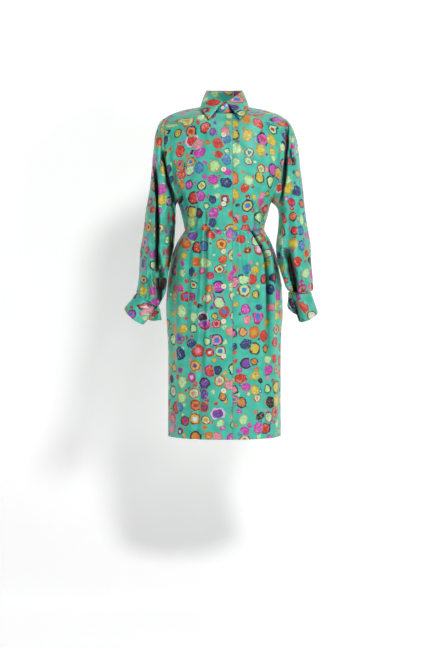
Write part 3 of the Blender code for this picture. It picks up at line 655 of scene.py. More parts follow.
def front(name, grid, way, creases, rumple_seed, silk_seed):
    """One front from its smooth grid: creased, rumpled, and risen between its seams."""
    out = facing(grid, way)
    free = free_of_seams(grid, ("first", "last", "end"))
    worn = creased(grid, out, creases, free, -1)
    worn = rumpled(worn, out, free, size=0.045, height=0.0022, seed=rumple_seed)
    worn = worn + out * (SEAM_PUFF * free)[..., None]
    return cloth(name, worn, way, silk_seed, laid_out(grid, LAP_STEPS), keep=below_neck)


left_front = front(
    "left_front_bodice_cloth", tucked(front_grid(UNDERLAP)), 1, LEFT_FRONT_CREASES,
    rumple_seed=3, silk_seed=1,
)

right_front = front(
    "right_front_bodice_cloth", mirrored(front_grid(OVERLAP)), -1, RIGHT_FRONT_CREASES,
    rumple_seed=9, silk_seed=2,
)


# ------------------------------------------------------------ the back of the bodice
# One piece from the yoke's back seam to the waist, eased into two soft darts
# at the waist and sewn to the fronts down the sides.

BACK_ROWS = (
    BodiceRow(0, WAIST_Z, 90.0, 0.0, 2.0, 0.0),
    BodiceRow(UNDERARM_ROW, -0.296, 88.0, 0.0, 2.0, 0.0),
    BodiceRow(8, -0.200, 62.0, 0.0, 2.0, 0.0),
    BodiceRow(CHEST_ROW, -0.104, 50.0, 0.0, 2.0, 0.0),
)
BACK_CREASES = (
    Crease(0.060, -0.392, 0.066, -0.290, 0.002, 0.0070, 0.0060, 0.4, 0.4),
    Crease(-0.058, -0.392, -0.062, -0.280, -0.002, 0.0070, 0.0060, 0.4, 0.4),
    Crease(0.022, -0.392, 0.026, -0.320, 0.002, 0.0080, 0.0030, 0.4, 0.4),
    Crease(-0.095, -0.392, -0.100, -0.330, 0.003, 0.0080, 0.0040, 0.4, 0.4),
    Crease(0.098, -0.392, 0.092, -0.320, 0.003, 0.0080, 0.0040, 0.4, 0.4),
    Crease(0.172, -0.150, 0.120, -0.300, 0.012, 0.0120, 0.0060, 0.4, 0.4),
    Crease(-0.170, -0.140, -0.124, -0.310, -0.012, 0.0120, 0.0060, 0.4, 0.4),
    Crease(0.090, -0.106, 0.070, -0.240, -0.010, 0.0160, 0.0030, 0.3, 0.3),
    Crease(-0.070, -0.106, -0.085, -0.230, 0.010, 0.0160, 0.0030, 0.3, 0.3),
)


def bodice_levels(table, rows, way, last_turn, last_row):
    """Levels of the wearer's left half of the back or the yoke, from the centre or the neck out."""
    levels = []
    for row in rows:
        shape = along(table, row)
        end = armhole_end(row, 1, last_turn, last_row)
        if row <= YOKE_NECK_ROW:
            start = points(0.0, along(PROFILE, shape.centre_z).back, shape.centre_z)
        else:
            share = (row - YOKE_NECK_ROW) / (YOKE_TOP_ROW - YOKE_NECK_ROW)
            start = neckline(between(180.0, NECK_SEAM_TURN, share))
        levels.append(bodice_level(shape, start, end, FRONT_ACROSS, way(row)))
    return np.array(levels)


half = bodice_levels(
    BACK_ROWS,
    np.linspace(0, CHEST_ROW, STEPS_A_ROW * CHEST_ROW + 1),
    lambda row: 1,
    360 + FRONT_SEAM_TURN,
    YOKE_TOP_ROW,
)
back = np.concatenate([half[:, ::-1], mirrored(half)[:, 1:]], axis=1)
out = facing(back, 1)
free = free_of_seams(back, ("first", "last", "start", "end"))
back = creased(back, out, BACK_CREASES, free, 1)
back = rumpled(back, out, free, size=0.05, height=0.0022, seed=15)
back = back + out * (SEAM_PUFF * free)[..., None]
back_bodice = cloth("back_bodice_cloth", back, 1, 3, laid_out(back, len(FRONT_ACROSS) - 1))


# ------------------------------------------------------------ the yoke
# A doubled yoke over both shoulders, with the collar's stand sewn round its neck.
# Its back seam runs straight across the upper back, and its front seams lie a
# little before the shoulder line.

YOKE_ROWS = (
    BodiceRow(CHEST_ROW, -0.104, 50.0, 0.0, 2.0, 0.0),
    BodiceRow(14, -0.048, 46.0, 0.006, 2.0, 0.1),
    BodiceRow(YOKE_NECK_ROW, 0.008, 42.0, 0.008, 1.7, 0.2),
    BodiceRow(19, 0.004, 30.0, 0.003, 1.2, 0.4),
    BodiceRow(YOKE_TOP_ROW, -0.010, 18.0, 0.001, 1.0, 0.5),
)
YOKE_WALL = 0.0016
YOKE_SLOPE = 1.05  # how much longer the yoke is than its shadow, across the shoulders
half = bodice_levels(
    YOKE_ROWS,
    np.linspace(CHEST_ROW, YOKE_TOP_ROW, STEPS_A_ROW * (YOKE_TOP_ROW - CHEST_ROW) + 1),
    lambda row: between(1, -1, smooth(YOKE_NECK_ROW, YOKE_TOP_ROW, row)),
    360 + FRONT_SEAM_TURN,
    YOKE_TOP_ROW,
)
yoke = np.concatenate([half[:, ::-1], mirrored(half)], axis=1)
out = facing(yoke, 1)
free = free_of_seams(yoke, ("first", "last", "start", "end"))
middle = len(FRONT_ACROSS) - 1
away = np.abs(lengths(yoke, 1) - lengths(yoke, 1)[:, [middle]])
neck_level = STEPS_A_ROW * (YOKE_NECK_ROW - CHEST_ROW)
neck = (np.arange(yoke.shape[0]) > neck_level)[:, None]
free = np.where(neck, free * (1 - np.exp(-((away / SEAM_HALF) ** 2))), free)
out[:, middle] = out[:, middle - 1]
out[:, middle + 1] = out[:, middle + 2]
yoke = rumpled(yoke, out, free, size=0.06, height=0.0010, seed=21)
yoke = yoke + out * (SEAM_PUFF * free)[..., None]
yoke[: neck_level + 1, middle + 1] = yoke[: neck_level + 1, middle]
joined = np.ones((yoke.shape[0] - 1, yoke.shape[1] - 1), dtype=bool)
joined[:, middle] = False
steps = np.linalg.norm(np.diff(yoke[..., 1:], axis=0), axis=2)
over_shoulder = np.concatenate([np.zeros((1, yoke.shape[1])), np.cumsum(steps, axis=0)])
flat_at = np.stack([YOKE_SLOPE * yoke[..., 0], over_shoulder], axis=-1)
back_yoke = cloth("back_yoke_cloth", yoke, 1, 4, flat_at, YOKE_WALL, joined)


# ------------------------------------------------------------ the skirt
# Two fronts and a back, unpressed pleats let out from the waist seam. The right
# front laps over the left one down to the hem.


class Pleat(NamedTuple):
    """An unpressed pleat: where it lies at four heights, how deep it is, and how far down it lasts."""

    waist_x: float
    hip_x: float
    thigh_x: float
    hem_x: float
    width: float
    depth: float
    left: float
    right: float
    fades: float  # share of the skirt's length at which it has half died away


class PathPoint(NamedTuple):
    z: float
    x: float


DEEP_PLEAT = 0.015  # deeper than this, a pleat has steep sides and its outer side laps over it
PLEAT_LAP = 0.0045
PLEAT_Z = (WAIST_Z, -0.480, -0.800, HEM_Z)
LEFT_PLEATS = (
    Pleat(0.085, 0.133, 0.139, 0.140, 0.0056, 0.0200, 0.15, 0.40, 0.62),
    Pleat(0.054, 0.062, 0.066, 0.070, 0.0060, 0.0040, 0.40, 0.50, 0.25),
    Pleat(0.112, 0.158, 0.164, 0.166, 0.0075, 0.0060, 0.40, 0.50, 0.55),
    Pleat(0.096, 0.118, 0.112, 0.104, 0.0120, 0.0030, 0.30, 0.30, 0.70),
)
RIGHT_PLEATS = (
    Pleat(0.059, 0.060, 0.072, 0.090, 0.0050, 0.0085, 0.50, 0.55, 0.95),
    Pleat(0.092, 0.112, 0.122, 0.128, 0.0080, 0.0050, 0.45, 0.45, 0.60),
    Pleat(0.118, 0.158, 0.168, 0.168, 0.0080, 0.0070, 0.45, 0.45, 0.85),
    Pleat(0.076, 0.086, 0.100, 0.108, 0.0140, 0.0030, 0.30, 0.30, 0.60),
)
BACK_PLEATS = (
    Pleat(0.050, 0.058, 0.064, 0.070, 0.0090, 0.0080, 0.50, 0.50, 0.70),
    Pleat(0.085, 0.104, 0.112, 0.118, 0.0090, 0.0080, 0.50, 0.50, 0.60),
    Pleat(0.112, 0.146, 0.158, 0.162, 0.0100, 0.0070, 0.40, 0.40, 0.75),
    Pleat(-0.046, -0.058, -0.070, -0.074, 0.0090, 0.0080, 0.50, 0.50, 0.75),
    Pleat(-0.083, -0.100, -0.106, -0.112, 0.0090, 0.0080, 0.50, 0.50, 0.55),
    Pleat(-0.110, -0.142, -0.156, -0.160, 0.0100, 0.0070, 0.40, 0.40, 0.80),
)
SKIRT_Z = np.concatenate([
    spread(WAIST_Z, -0.600, 0.0035),
    spread(-0.600, HEM_Z, 0.0050)[1:],
])


def pleated(grid, out, pleats, free, side):
    """The grid with its pleats pressed in; x is measured out from the centre on the piece's own side."""
    move, slide = np.zeros(grid.shape[:2]), np.zeros(grid.shape[:2])
    for pleat in pleats:
        path = [PathPoint(z, x) for z, x in zip(PLEAT_Z[::-1], pleat[3::-1])]
        for level in range(len(grid)):
            z = SKIRT_Z[level]
            share = (WAIST_Z - z) / (WAIST_Z - HEM_Z)
            depth = pleat.depth * (1 - smooth(0.3 * pleat.fades, 1.7 * pleat.fades, share))
            width = pleat.width * (1 + 1.2 * share)
            near = (grid[level, :, 0] * side - along(path, z).x) / width
            form = -np.exp(-np.abs(near) ** (4 if pleat.depth > DEEP_PLEAT else 2))
            form += pleat.left * np.exp(-((near + 1.7) ** 2)) + pleat.right * np.exp(-((near - 1.7) ** 2))
            move[level] += depth * form
            if pleat.depth > DEEP_PLEAT:
                slide[level] += PLEAT_LAP * depth / pleat.depth * np.exp(-(((near - 1.3) / 0.8) ** 2))
    across = -side * np.stack([-out[..., 1], out[..., 0], 0 * move], axis=-1) * np.sign(-out[..., [1]])
    return grid + (out * move[..., None] + across * slide[..., None]) * free[..., None]


def skirt_grid(turns_at):
    """The skirt's tube at its heights; turns run from the centre front to the wearer's left."""
    levels = []
    for z in SKIRT_Z:
        profile, half_width = along(PROFILE, z), along(SIDE_SEAM, z).half_width
        angle = np.radians(turns_at(half_width))
        depth = np.where(np.cos(angle) > 0, profile.front, profile.back)
        levels.append(points(half_width * np.sin(angle), -depth * np.cos(angle), z))
    return np.array(levels)


def lapped_turns(lap):
    def turns(half_width):
        past = -math.degrees(math.asin(lap / half_width))
        return np.concatenate([np.linspace(past, 0, LAP_STEPS, endpoint=False), spread(0, 90, 1.1)])

    return turns


def hung(grid, out, free, seed):
    """Long soft waves down the skirt, widest at the hem."""
    drop = (WAIST_Z - grid[..., 2]) / (WAIST_Z - HEM_Z)
    waved = rumpled(grid, out, free * (0.35 + 0.65 * drop), 0.060, 0.0050, seed, stretch=(1, 1, 0.16))
    return rumpled(waved, out, free, 0.035, 0.0012, seed + 5, stretch=(1, 1, 0.5))


def skirt_front(name, plain, side, pleats, waves_from, waves_to, wave_seed, silk_seed):
    """One skirt front from its smooth grid: pleated, and waved where it is clear of the lapped edge."""
    out = facing(plain, -side)
    free = free_of_seams(plain, ("first", "end"))
    worn = pleated(plain, out, pleats, free, side)
    flat_at = into_folds(laid_out(plain, LAP_STEPS), plain, worn, out)
    worn = hung(worn, out, free * smooth(waves_from, waves_to, side * worn[..., 0]), wave_seed)
    return cloth(name, worn, -side, silk_seed, flat_at)


left = tucked(skirt_grid(lapped_turns(UNDERLAP)))
left_skirt = skirt_front(
    "left_front_skirt_cloth", left, 1, LEFT_PLEATS,
    waves_from=0.020, waves_to=0.060, wave_seed=31, silk_seed=5,
)

right = mirrored(skirt_grid(lapped_turns(OVERLAP)))
right_skirt = skirt_front(
    "right_front_skirt_cloth", right, -1, RIGHT_PLEATS,
    waves_from=0.015, waves_to=0.050, wave_seed=37, silk_seed=6,
)

back_turns = spread(90, 270, 1.15)
back = skirt_grid(lambda half_width: back_turns)
flat_at = laid_out(back, (len(back_turns) - 1) // 2)
out = facing(back, -1)
free = free_of_seams(back, ("first", "start", "end"))
back = pleated(back, out, BACK_PLEATS, free, 1)
back = hung(back, out, free, 43)
back_skirt = cloth("back_skirt_cloth", back, -1, 7, flat_at)


# ------------------------------------------------------------ the sleeves
# Long one-piece sleeves, eased into the armhole with soft gathers at the head
# and gathered again into the cuffs. Their one seam runs down the inner side.


class SleeveFold(NamedTuple):
    turn: float
    first_ring: float
    last_ring: float
    width: float  # degrees
    depth: float


LEFT_SLEEVE = (
    ARMHOLE,
    Ring(1, 0.2010, -0.0475, 0.1515, -0.3060, 0.0, 0.0690, 0.017),
    Ring(2, 0.2140, -0.0660, 0.1545, -0.3080, 0.0, 0.0690, 0.014),
    Ring(3, 0.2290, -0.1060, 0.1580, -0.3105, 0.0, 0.0680, 0.010),
    Ring(4, 0.2390, -0.1700, 0.1620, -0.3140, 0.0, 0.0660, 0.005),
    Ring(5, 0.2490, -0.2550, 0.1670, -0.3200, -0.002, 0.0620, 0.0),
    Ring(6, 0.2590, -0.3350, 0.1730, -0.3370, -0.006, 0.0590, 0.0),
    Ring(7, 0.2670, -0.3920, 0.1710, -0.3860, -0.014, 0.0570, 0.0),
    Ring(8, 0.2740, -0.4580, 0.1645, -0.4480, -0.030, 0.0550, 0.0),
    Ring(9, 0.2770, -0.5220, 0.1760, -0.5200, -0.045, 0.0520, 0.0),
    Ring(10, 0.2750, -0.5680, 0.1930, -0.5660, -0.058, 0.0460, 0.0),
    Ring(11, 0.2730, -0.5930, 0.2070, -0.5940, -0.065, 0.0340, 0.0, 0.010),
)
RIGHT_SLEEVE = (
    ARMHOLE,
    Ring(1, 0.2000, -0.0475, 0.1510, -0.3070, 0.0, 0.0690, 0.017),
    Ring(2, 0.2110, -0.0660, 0.1528, -0.3100, 0.0, 0.0690, 0.014),
    Ring(3, 0.2225, -0.1060, 0.1545, -0.3140, 0.0, 0.0680, 0.010),
    Ring(4, 0.2290, -0.1700, 0.1558, -0.3200, 0.0, 0.0660, 0.005),
    Ring(5, 0.2375, -0.2600, 0.1565, -0.3310, -0.002, 0.0620, 0.0),
    Ring(6, 0.2510, -0.3350, 0.1570, -0.3500, -0.006, 0.0590, 0.0),
    Ring(7, 0.2580, -0.3920, 0.1585, -0.3940, -0.014, 0.0570, 0.0),
    Ring(8, 0.2670, -0.4580, 0.1630, -0.4560, -0.030, 0.0550, 0.0),
    Ring(9, 0.2705, -0.5220, 0.1780, -0.5240, -0.045, 0.0520, 0.0),
    Ring(10, 0.2740, -0.5720, 0.1880, -0.5880, -0.058, 0.0460, 0.0),
    Ring(11, 0.2780, -0.5980, 0.2090, -0.6380, -0.066, 0.0340, 0.0, 0.012),
)
LEFT_SLEEVE_FOLDS = (
    SleeveFold(112.0, 6.0, 10.8, 15.0, 0.008),
    SleeveFold(205.0, 4.6, 9.6, 13.0, 0.006),
    SleeveFold(250.0, 4.0, 10.4, 16.0, 0.007),
    SleeveFold(300.0, 2.0, 7.0, 16.0, 0.005),
    SleeveFold(330.0, 0.6, 4.6, 12.0, 0.004),
)
RIGHT_SLEEVE_FOLDS = (
    SleeveFold(128.0, 5.4, 10.8, 15.0, 0.007),
    SleeveFold(210.0, 4.8, 9.4, 13.0, 0.006),
    SleeveFold(262.0, 4.0, 10.4, 16.0, 0.007),
    SleeveFold(305.0, 1.6, 6.6, 16.0, 0.005),
    SleeveFold(336.0, 0.6, 4.4, 12.0, 0.004),
)
LEFT_SLEEVE_CREASES = (
    Crease(0.1965, -0.060, 0.1800, -0.318, 0.004, 0.0058, 0.0340, 0.08, 0.22, -0.0020),
    Crease(0.2096, -0.080, 0.2096, -0.190, -0.004, 0.0050, 0.0090, 0.40, 0.40, 0.0025),
    Crease(0.2240, -0.060, 0.2330, -0.175, 0.003, 0.0065, 0.0040, 0.40, 0.40),
    Crease(0.1980, -0.200, 0.2080, -0.350, 0.003, 0.0080, 0.0050, 0.40, 0.40),
    Crease(0.1960, -0.450, 0.2290, -0.655, 0.006, 0.0115, 0.0480, 0.14, 0.16, -0.0020),
    Crease(0.1640, -0.415, 0.1790, -0.520, 0.002, 0.0050, 0.0120, 0.40, 0.40, 0.0025),
    Crease(0.1850, -0.320, 0.1740, -0.440, -0.003, 0.0080, 0.0070, 0.40, 0.40),
    Crease(0.1990, -0.520, 0.2130, -0.640, 0.000, 0.0050, 0.0080, 0.40, 0.40),
    Crease(0.2470, -0.300, 0.2630, -0.540, 0.005, 0.0130, 0.0045, 0.35, 0.35),
    Crease(0.2360, -0.500, 0.2440, -0.612, 0.000, 0.0050, 0.0070, 0.40, 0.40),
    Crease(0.2560, -0.530, 0.2580, -0.612, 0.000, 0.0045, 0.0050, 0.40, 0.40),
)
RIGHT_SLEEVE_CREASES = (
    Crease(-0.2205, -0.175, -0.2145, -0.530, 0.006, 0.0056, 0.0360, 0.22, 0.20, -0.0020),
    Crease(-0.2165, -0.430, -0.2080, -0.650, 0.003, 0.0130, 0.0380, 0.20, 0.16, -0.0030),
    Crease(-0.1715, -0.290, -0.1725, -0.550, 0.002, 0.0100, 0.0480, 0.12, 0.00, 0.0020),
    Crease(-0.1930, -0.140, -0.1600, -0.314, -0.003, 0.0090, 0.0400, 0.16, 0.08, 0.0020),
    Crease(-0.2250, -0.060, -0.2330, -0.215, -0.003, 0.0060, 0.0045, 0.40, 0.40),
    Crease(-0.2070, -0.055, -0.2040, -0.200, 0.003, 0.0055, 0.0055, 0.40, 0.40),
    Crease(-0.1640, -0.350, -0.2020, -0.425, 0.000, 0.0060, 0.0060, 0.40, 0.40),
    Crease(-0.1760, -0.480, -0.2060, -0.615, 0.000, 0.0060, 0.0110, 0.40, 0.40, 0.0020),
    Crease(-0.2480, -0.330, -0.2620, -0.570, -0.003, 0.0120, 0.0042, 0.35, 0.35),
    Crease(-0.2350, -0.500, -0.2380, -0.612, 0.000, 0.0050, 0.0070, 0.40, 0.40),
    Crease(-0.2540, -0.530, -0.2580, -0.612, 0.000, 0.0045, 0.0050, 0.40, 0.40),
)
SLEEVE_BACK_CREASES = (
    Crease(0.1960, -0.075, 0.1830, -0.300, 0.003, 0.0060, 0.0060, 0.20, 0.55),
    Crease(0.2140, -0.060, 0.2180, -0.200, 0.003, 0.0065, 0.0040, 0.40, 0.40),
    Crease(0.2300, -0.330, 0.1900, -0.400, 0.000, 0.0080, 0.0050, 0.40, 0.40),
    Crease(0.2450, -0.380, 0.1980, -0.450, 0.004, 0.0080, 0.0050, 0.40, 0.40),
    Crease(0.2100, -0.470, 0.2300, -0.600, 0.004, 0.0080, 0.0070, 0.40, 0.40),
    Crease(0.2480, -0.480, 0.2560, -0.600, 0.003, 0.0070, 0.0050, 0.40, 0.40),
)
UNDERARM_TURN = 180.0
SLEEVE_TURNS = spread(UNDERARM_TURN, UNDERARM_TURN + 360, 2.6)
SLEEVE_AT = spread(0, 11, 0.06)
GATHERS, GATHER_DEPTH = 7, 0.0034
FINE_GATHERS, FINE_GATHER_DEPTH = 17, 0.0013
HEAD_GATHERS, HEAD_GATHER_DEPTH = 19, 0.0016


def sleeve_grid(rings):
    """A sleeve from the armhole to the cuff; its columns start and end at the underarm seam."""
    return np.array([on_ring(along(rings, at), SLEEVE_TURNS) for at in SLEEVE_AT])


def gathered(grid, out, folds, free, seed):
    """The sleeve with its round folds, the head's gathers, and the cuff's gathers."""
    at = SLEEVE_AT[:, None]
    turn = SLEEVE_TURNS[None, :]
    move = np.zeros(grid.shape[:2])
    for fold in folds:
        share = np.clip((at - fold.first_ring) / (fold.last_ring - fold.first_ring), 0, 1)
        near = ((turn - fold.turn + 180) % 360 - 180) / fold.width
        form = 0.35 * np.exp(-((near + 1.8) ** 2)) + 0.35 * np.exp(-((near - 1.8) ** 2)) - np.exp(-(near**2))
        move += fold.depth * np.sin(math.pi * share) ** 0.8 * form
    angle = np.radians(turn)
    cuff = smooth(8.6, 10.4, at) * (1 - 0.35 * smooth(10.6, 11, at))
    uneven = 1 + 0.45 * np.sin(2 * angle + seed) + 0.25 * np.sin(5 * angle + 2 * seed)
    move += GATHER_DEPTH * cuff * uneven * np.cos(GATHERS * angle + 0.5 * np.sin(3 * angle + seed))
    fine = smooth(9.6, 10.8, at)
    move += FINE_GATHER_DEPTH * fine * np.cos(FINE_GATHERS * angle + 1.4 * np.sin(2 * angle + seed))
    head = (1 - smooth(0.6, 2.6, at)) * (np.cos(angle) > 0) * np.cos(angle) ** 2
    move += HEAD_GATHER_DEPTH * head * np.cos(HEAD_GATHERS * angle + 1.2 * np.sin(4 * angle + seed))
    return grid + out * (move * free)[..., None]


def laid_round(grid, rings):
    """Where each point of a sleeve on the +X side lay on the flat cloth: round the sleeve, and down it."""
    x, y, z = grid[..., 0], grid[..., 1], grid[..., 2]
    table = np.array([ring[:8] for ring in rings])
    outer, inner = table[::-1, 1:3], table[::-1, 3:5]
    outer_x = np.interp(z, outer[:, 1], outer[:, 0])
    inner_x = np.interp(z, inner[:, 1], inner[:, 0])
    half_width = np.maximum((outer_x - inner_x) / 2, 0.030)
    middle_z = (table[::-1, 2] + table[::-1, 4]) / 2
    middle_y = np.interp(z, middle_z, table[::-1, 5])
    half_depth = np.interp(z, middle_z, table[::-1, 6])
    angle = np.arctan2(-(y - middle_y) / half_depth, (x - (outer_x - half_width)) / half_width)
    turn = np.radians(SLEEVE_TURNS - 360)[None, :]
    angle += 2 * math.pi * np.round((turn - angle) / (2 * math.pi))
    down = np.cumsum(np.hypot(*np.diff(outer[::-1], axis=0, prepend=outer[-1:]).T))[::-1]
    starts = np.interp(z[:1], outer[:, 1], down)
    return np.stack([angle * (half_width + half_depth) / 2, -starts - lengths(grid, 0)], axis=-1)


def sleeve(name, rings, side, folds, creases, gather_seed, rumple_seed, silk_seed):
    """One sleeve, built on the +X side and turned over to its own side, which is -X where side is -1."""
    own = (side, 1, 1)
    plain = sleeve_grid(rings)
    out = facing(plain, 1)
    free = free_of_seams(plain, ("first", "last", "start", "end"))
    worn = gathered(plain, out, folds, free, gather_seed)
    worn = creased(worn * own, out * own, creases, free, -1) * own
    worn = creased(worn, out, SLEEVE_BACK_CREASES, free, 1)
    flat_at = into_folds(laid_round(plain, rings), plain, worn, out) * own[:2]
    worn = rumpled(worn * own, out * own, free, 0.040, 0.0028, rumple_seed, stretch=(1, 1, 0.45))
    return cloth(name, worn, side, silk_seed, flat_at)


left_sleeve = sleeve(
    "left_sleeve_cloth", LEFT_SLEEVE, 1, LEFT_SLEEVE_FOLDS, LEFT_SLEEVE_CREASES,
    gather_seed=1, rumple_seed=51, silk_seed=8,
)

right_sleeve = sleeve(
    "right_sleeve_cloth", RIGHT_SLEEVE, -1, RIGHT_SLEEVE_FOLDS, RIGHT_SLEEVE_CREASES,
    gather_seed=4, rumple_seed=57, silk_seed=9,
)


# ------------------------------------------------------------ the cuffs
# Doubled cuffs, sewn to the gathered ends of the sleeves and worn unbuttoned:
# the back half stands away from the front half, and its free end is wavy.

DOUBLED = 0.0018  # how thick two layers are
CUFF_FIRST_TURN, CUFF_LAST_TURN, CUFF_ROUND_SHARE = 192.0, -118.0, 0.84
LEFT_CUFF = (
    LEFT_SLEEVE[-1]._replace(ring=0),
    Ring(1, 0.2940, -0.6620, 0.2350, -0.6900, -0.082, 0.0360, 0.0, 0.020),
)
LEFT_CUFF_END = ((0.2040, -0.034, -0.5920), (0.2010, -0.050, -0.6320))
RIGHT_CUFF = (
    RIGHT_SLEEVE[-1]._replace(ring=0),
    Ring(1, 0.3160, -0.6520, 0.2520, -0.7000, -0.084, 0.0360, 0.0, 0.024),
)
RIGHT_CUFF_END = ((0.2080, -0.036, -0.6400), (0.2000, -0.052, -0.6760))
LEFT_CUFF_CREASES = (
    Crease(0.2170, -0.570, 0.2350, -0.715, 0.001, 0.0085, 0.0230, 0.10, 0.10, -0.0010),
)
RIGHT_CUFF_CREASES = (
    Crease(-0.2230, -0.590, -0.2130, -0.720, 0.000, 0.0080, 0.0180, 0.15, 0.15, 0.0010),
)


def cuff_grid(rings, end):
    """A cuff, from the end of its front half round to the free end of its back half."""
    shares = spread(0, 1, 0.0085)
    round_it = shares[shares <= CUFF_ROUND_SHARE]
    free_end = (shares[shares > CUFF_ROUND_SHARE] - CUFF_ROUND_SHARE) / (1 - CUFF_ROUND_SHARE)
    levels = []
    for down in spread(0, 1, 0.05):
        low = rings[0]._make(between(a, b, down) for a, b in zip(*rings))
        wrist = on_ring(low, between(CUFF_FIRST_TURN, CUFF_LAST_TURN, round_it / CUFF_ROUND_SHARE))
        leaving, before = on_ring(low, CUFF_LAST_TURN), on_ring(low, CUFF_LAST_TURN + 12)
        goal = between(np.array(end[0]), np.array(end[1]), down)
        heading = (leaving - before) / np.linalg.norm(leaving - before)
        t = free_end[:, None]
        pull = heading * np.linalg.norm(goal - leaving)
        levels.append(np.concatenate([wrist, leaving + pull * (t * (1 - t)) + (goal - leaving) * t]))
    return np.array(levels)


def curled(grid, out, height, waves):
    """The cuff with the waves of its limp free end, which grow towards its corner."""
    down, share = np.linspace(0, 1, grid.shape[0])[:, None], np.linspace(0, 1, grid.shape[1])[None, :]
    grow = smooth(0.62, 0.95, share) * smooth(0.0, 0.8, down)
    return grid + out * (height * grow * np.sin(waves * 2 * math.pi * share + 1.2 * down))[..., None]


def cuff(name, grid, way, height, waves, creases, rumple_seed, silk_seed):
    """One cuff from its smooth grid: curled, creased and rumpled."""
    out = facing(grid, way)
    worn = curled(grid, out, height, waves)
    worn = creased(worn, out, creases, np.ones(worn.shape[:2]), -1)
    worn = rumpled(worn, out, free_of_seams(worn, ("first",)), size=0.030, height=0.0022, seed=rumple_seed)
    return cloth(name, worn, way, silk_seed, laid_out(worn), DOUBLED)


left = cuff_grid(LEFT_CUFF, LEFT_CUFF_END)
left_cuff = cuff(
    "left_cuff_cloth", left, -1, height=0.0030, waves=7,
    creases=LEFT_CUFF_CREASES, rumple_seed=61, silk_seed=10,
)

right = mirrored(cuff_grid(RIGHT_CUFF, RIGHT_CUFF_END))
right_cuff = cuff(
    "right_cuff_cloth", right, 1, height=0.0060, waves=9,
    creases=RIGHT_CUFF_CREASES, rumple_seed=67, silk_seed=11,
)


# ------------------------------------------------------------ the collar
# A pointed collar on a stand, both doubled and stiffened. The stand laps at the
# centre front and is buttoned there; the leaf rolls over its top and falls.


class CollarColumn(NamedTuple):
    """The collar at a turn round the neck: its rolled top and the edge where it ends."""

    turn: float
    top_x: float
    top_y: float
    top_z: float
    edge_x: float
    edge_y: float
    edge_z: float


class Roll(NamedTuple):
    row: float
    out: float
    up: float


COLLAR = (
    CollarColumn(0, 0.000, -0.0725, 0.0050, 0.046, -0.0975, -0.0510),
    CollarColumn(15, 0.0150, -0.0705, 0.0120, 0.055, -0.0955, -0.0410),
    CollarColumn(30, 0.0290, -0.0655, 0.0210, 0.065, -0.0850, -0.0270),
    CollarColumn(60, 0.0480, -0.0420, 0.0370, 0.0755, -0.0480, -0.0060),
    CollarColumn(90, 0.0545, -0.0020, 0.0470, 0.0760, -0.0020, 0.0000),
    CollarColumn(112, 0.0510, 0.0190, 0.0490, 0.0715, 0.0260, 0.0050),
    CollarColumn(135, 0.0400, 0.0370, 0.0500, 0.0590, 0.0540, 0.0080),
    CollarColumn(160, 0.0200, 0.0500, 0.0510, 0.0320, 0.0750, 0.0040),
    CollarColumn(180, 0.0000, 0.0530, 0.0510, 0.0000, 0.0800, 0.0010),
)
LEAF_ROLL = (
    Roll(0, 0.0, 0.0),
    Roll(1, 0.00104, 0.00208),
    Roll(2, 0.00338, 0.00182),
    Roll(3, 0.0052, -0.0026),
)
ROLLED, EDGE = 3, 6  # the leaf's row where its roll ends, and the one at its edge
LEAF_BELLY = 0.002
LEAF_RISE = 0.0006  # from the top of the stand to the leaf
STAND_LEVELS, STAND_COLUMNS, LEAF_COLUMNS = 11, 131, 119


def collar_column(turn):
    """The collar's rolled top and its edge at a turn all round the neck."""
    column = along(COLLAR, abs((turn + 180) % 360 - 180))
    side = math.copysign(1, math.sin(math.radians(turn)))
    top = np.array([side * column.top_x, column.top_y, column.top_z])
    edge = np.array([side * column.edge_x, column.edge_y, column.edge_z])
    return top, edge


stand = np.zeros((STAND_LEVELS, STAND_COLUMNS, 3))
for i, turn in enumerate(np.linspace(-15, 375, STAND_COLUMNS)):
    top, _ = collar_column(turn)
    base = neckline(turn)
    column = base + (top - base) * np.linspace(0, 1, STAND_LEVELS)[:, None]
    stand[:, i] = tucked(column, 0.0) if turn < 90 else column
collar_stand = cloth("collar_stand_cloth", stand, 1, 12, laid_out(stand), DOUBLED)

leaf_rows = np.concatenate([np.linspace(0, ROLLED, 11), np.linspace(ROLLED, EDGE, 24)[1:]])
leaf = np.zeros((len(leaf_rows), LEAF_COLUMNS, 3))
for i, turn in enumerate(np.linspace(3, 357, LEAF_COLUMNS)):
    top, edge = collar_column(turn)
    outwards = np.array([edge[0] - top[0], edge[1] - top[1], 0.0])
    outwards /= np.linalg.norm(outwards)
    for j, row in enumerate(leaf_rows):
        roll = along(LEAF_ROLL, min(row, ROLLED))
        at = top + outwards * roll.out + np.array([0, 0, roll.up + LEAF_RISE])
        share = max(row - ROLLED, 0) / (EDGE - ROLLED)
        leaf[j, i] = at + (edge - at) * share + outwards * LEAF_BELLY * math.sin(math.pi * share)
out = facing(leaf, -1)
falls = smooth(ROLLED, ROLLED + 1, leaf_rows)[:, None] * np.ones((1, leaf.shape[1]))
leaf = rumpled(leaf, out, falls, size=0.035, height=0.0010, seed=71)
collar_leaf = cloth("collar_leaf_cloth", leaf, -1, 13, laid_out(leaf, LEAF_COLUMNS // 2), DOUBLED)


# ------------------------------------------------------------ the buttons
# Nine pearly cream buttons, each cast with a raised rim, pierced with four
# holes and sewn on with a crossed thread. They hide their buttonholes, which
# aren't modelled.

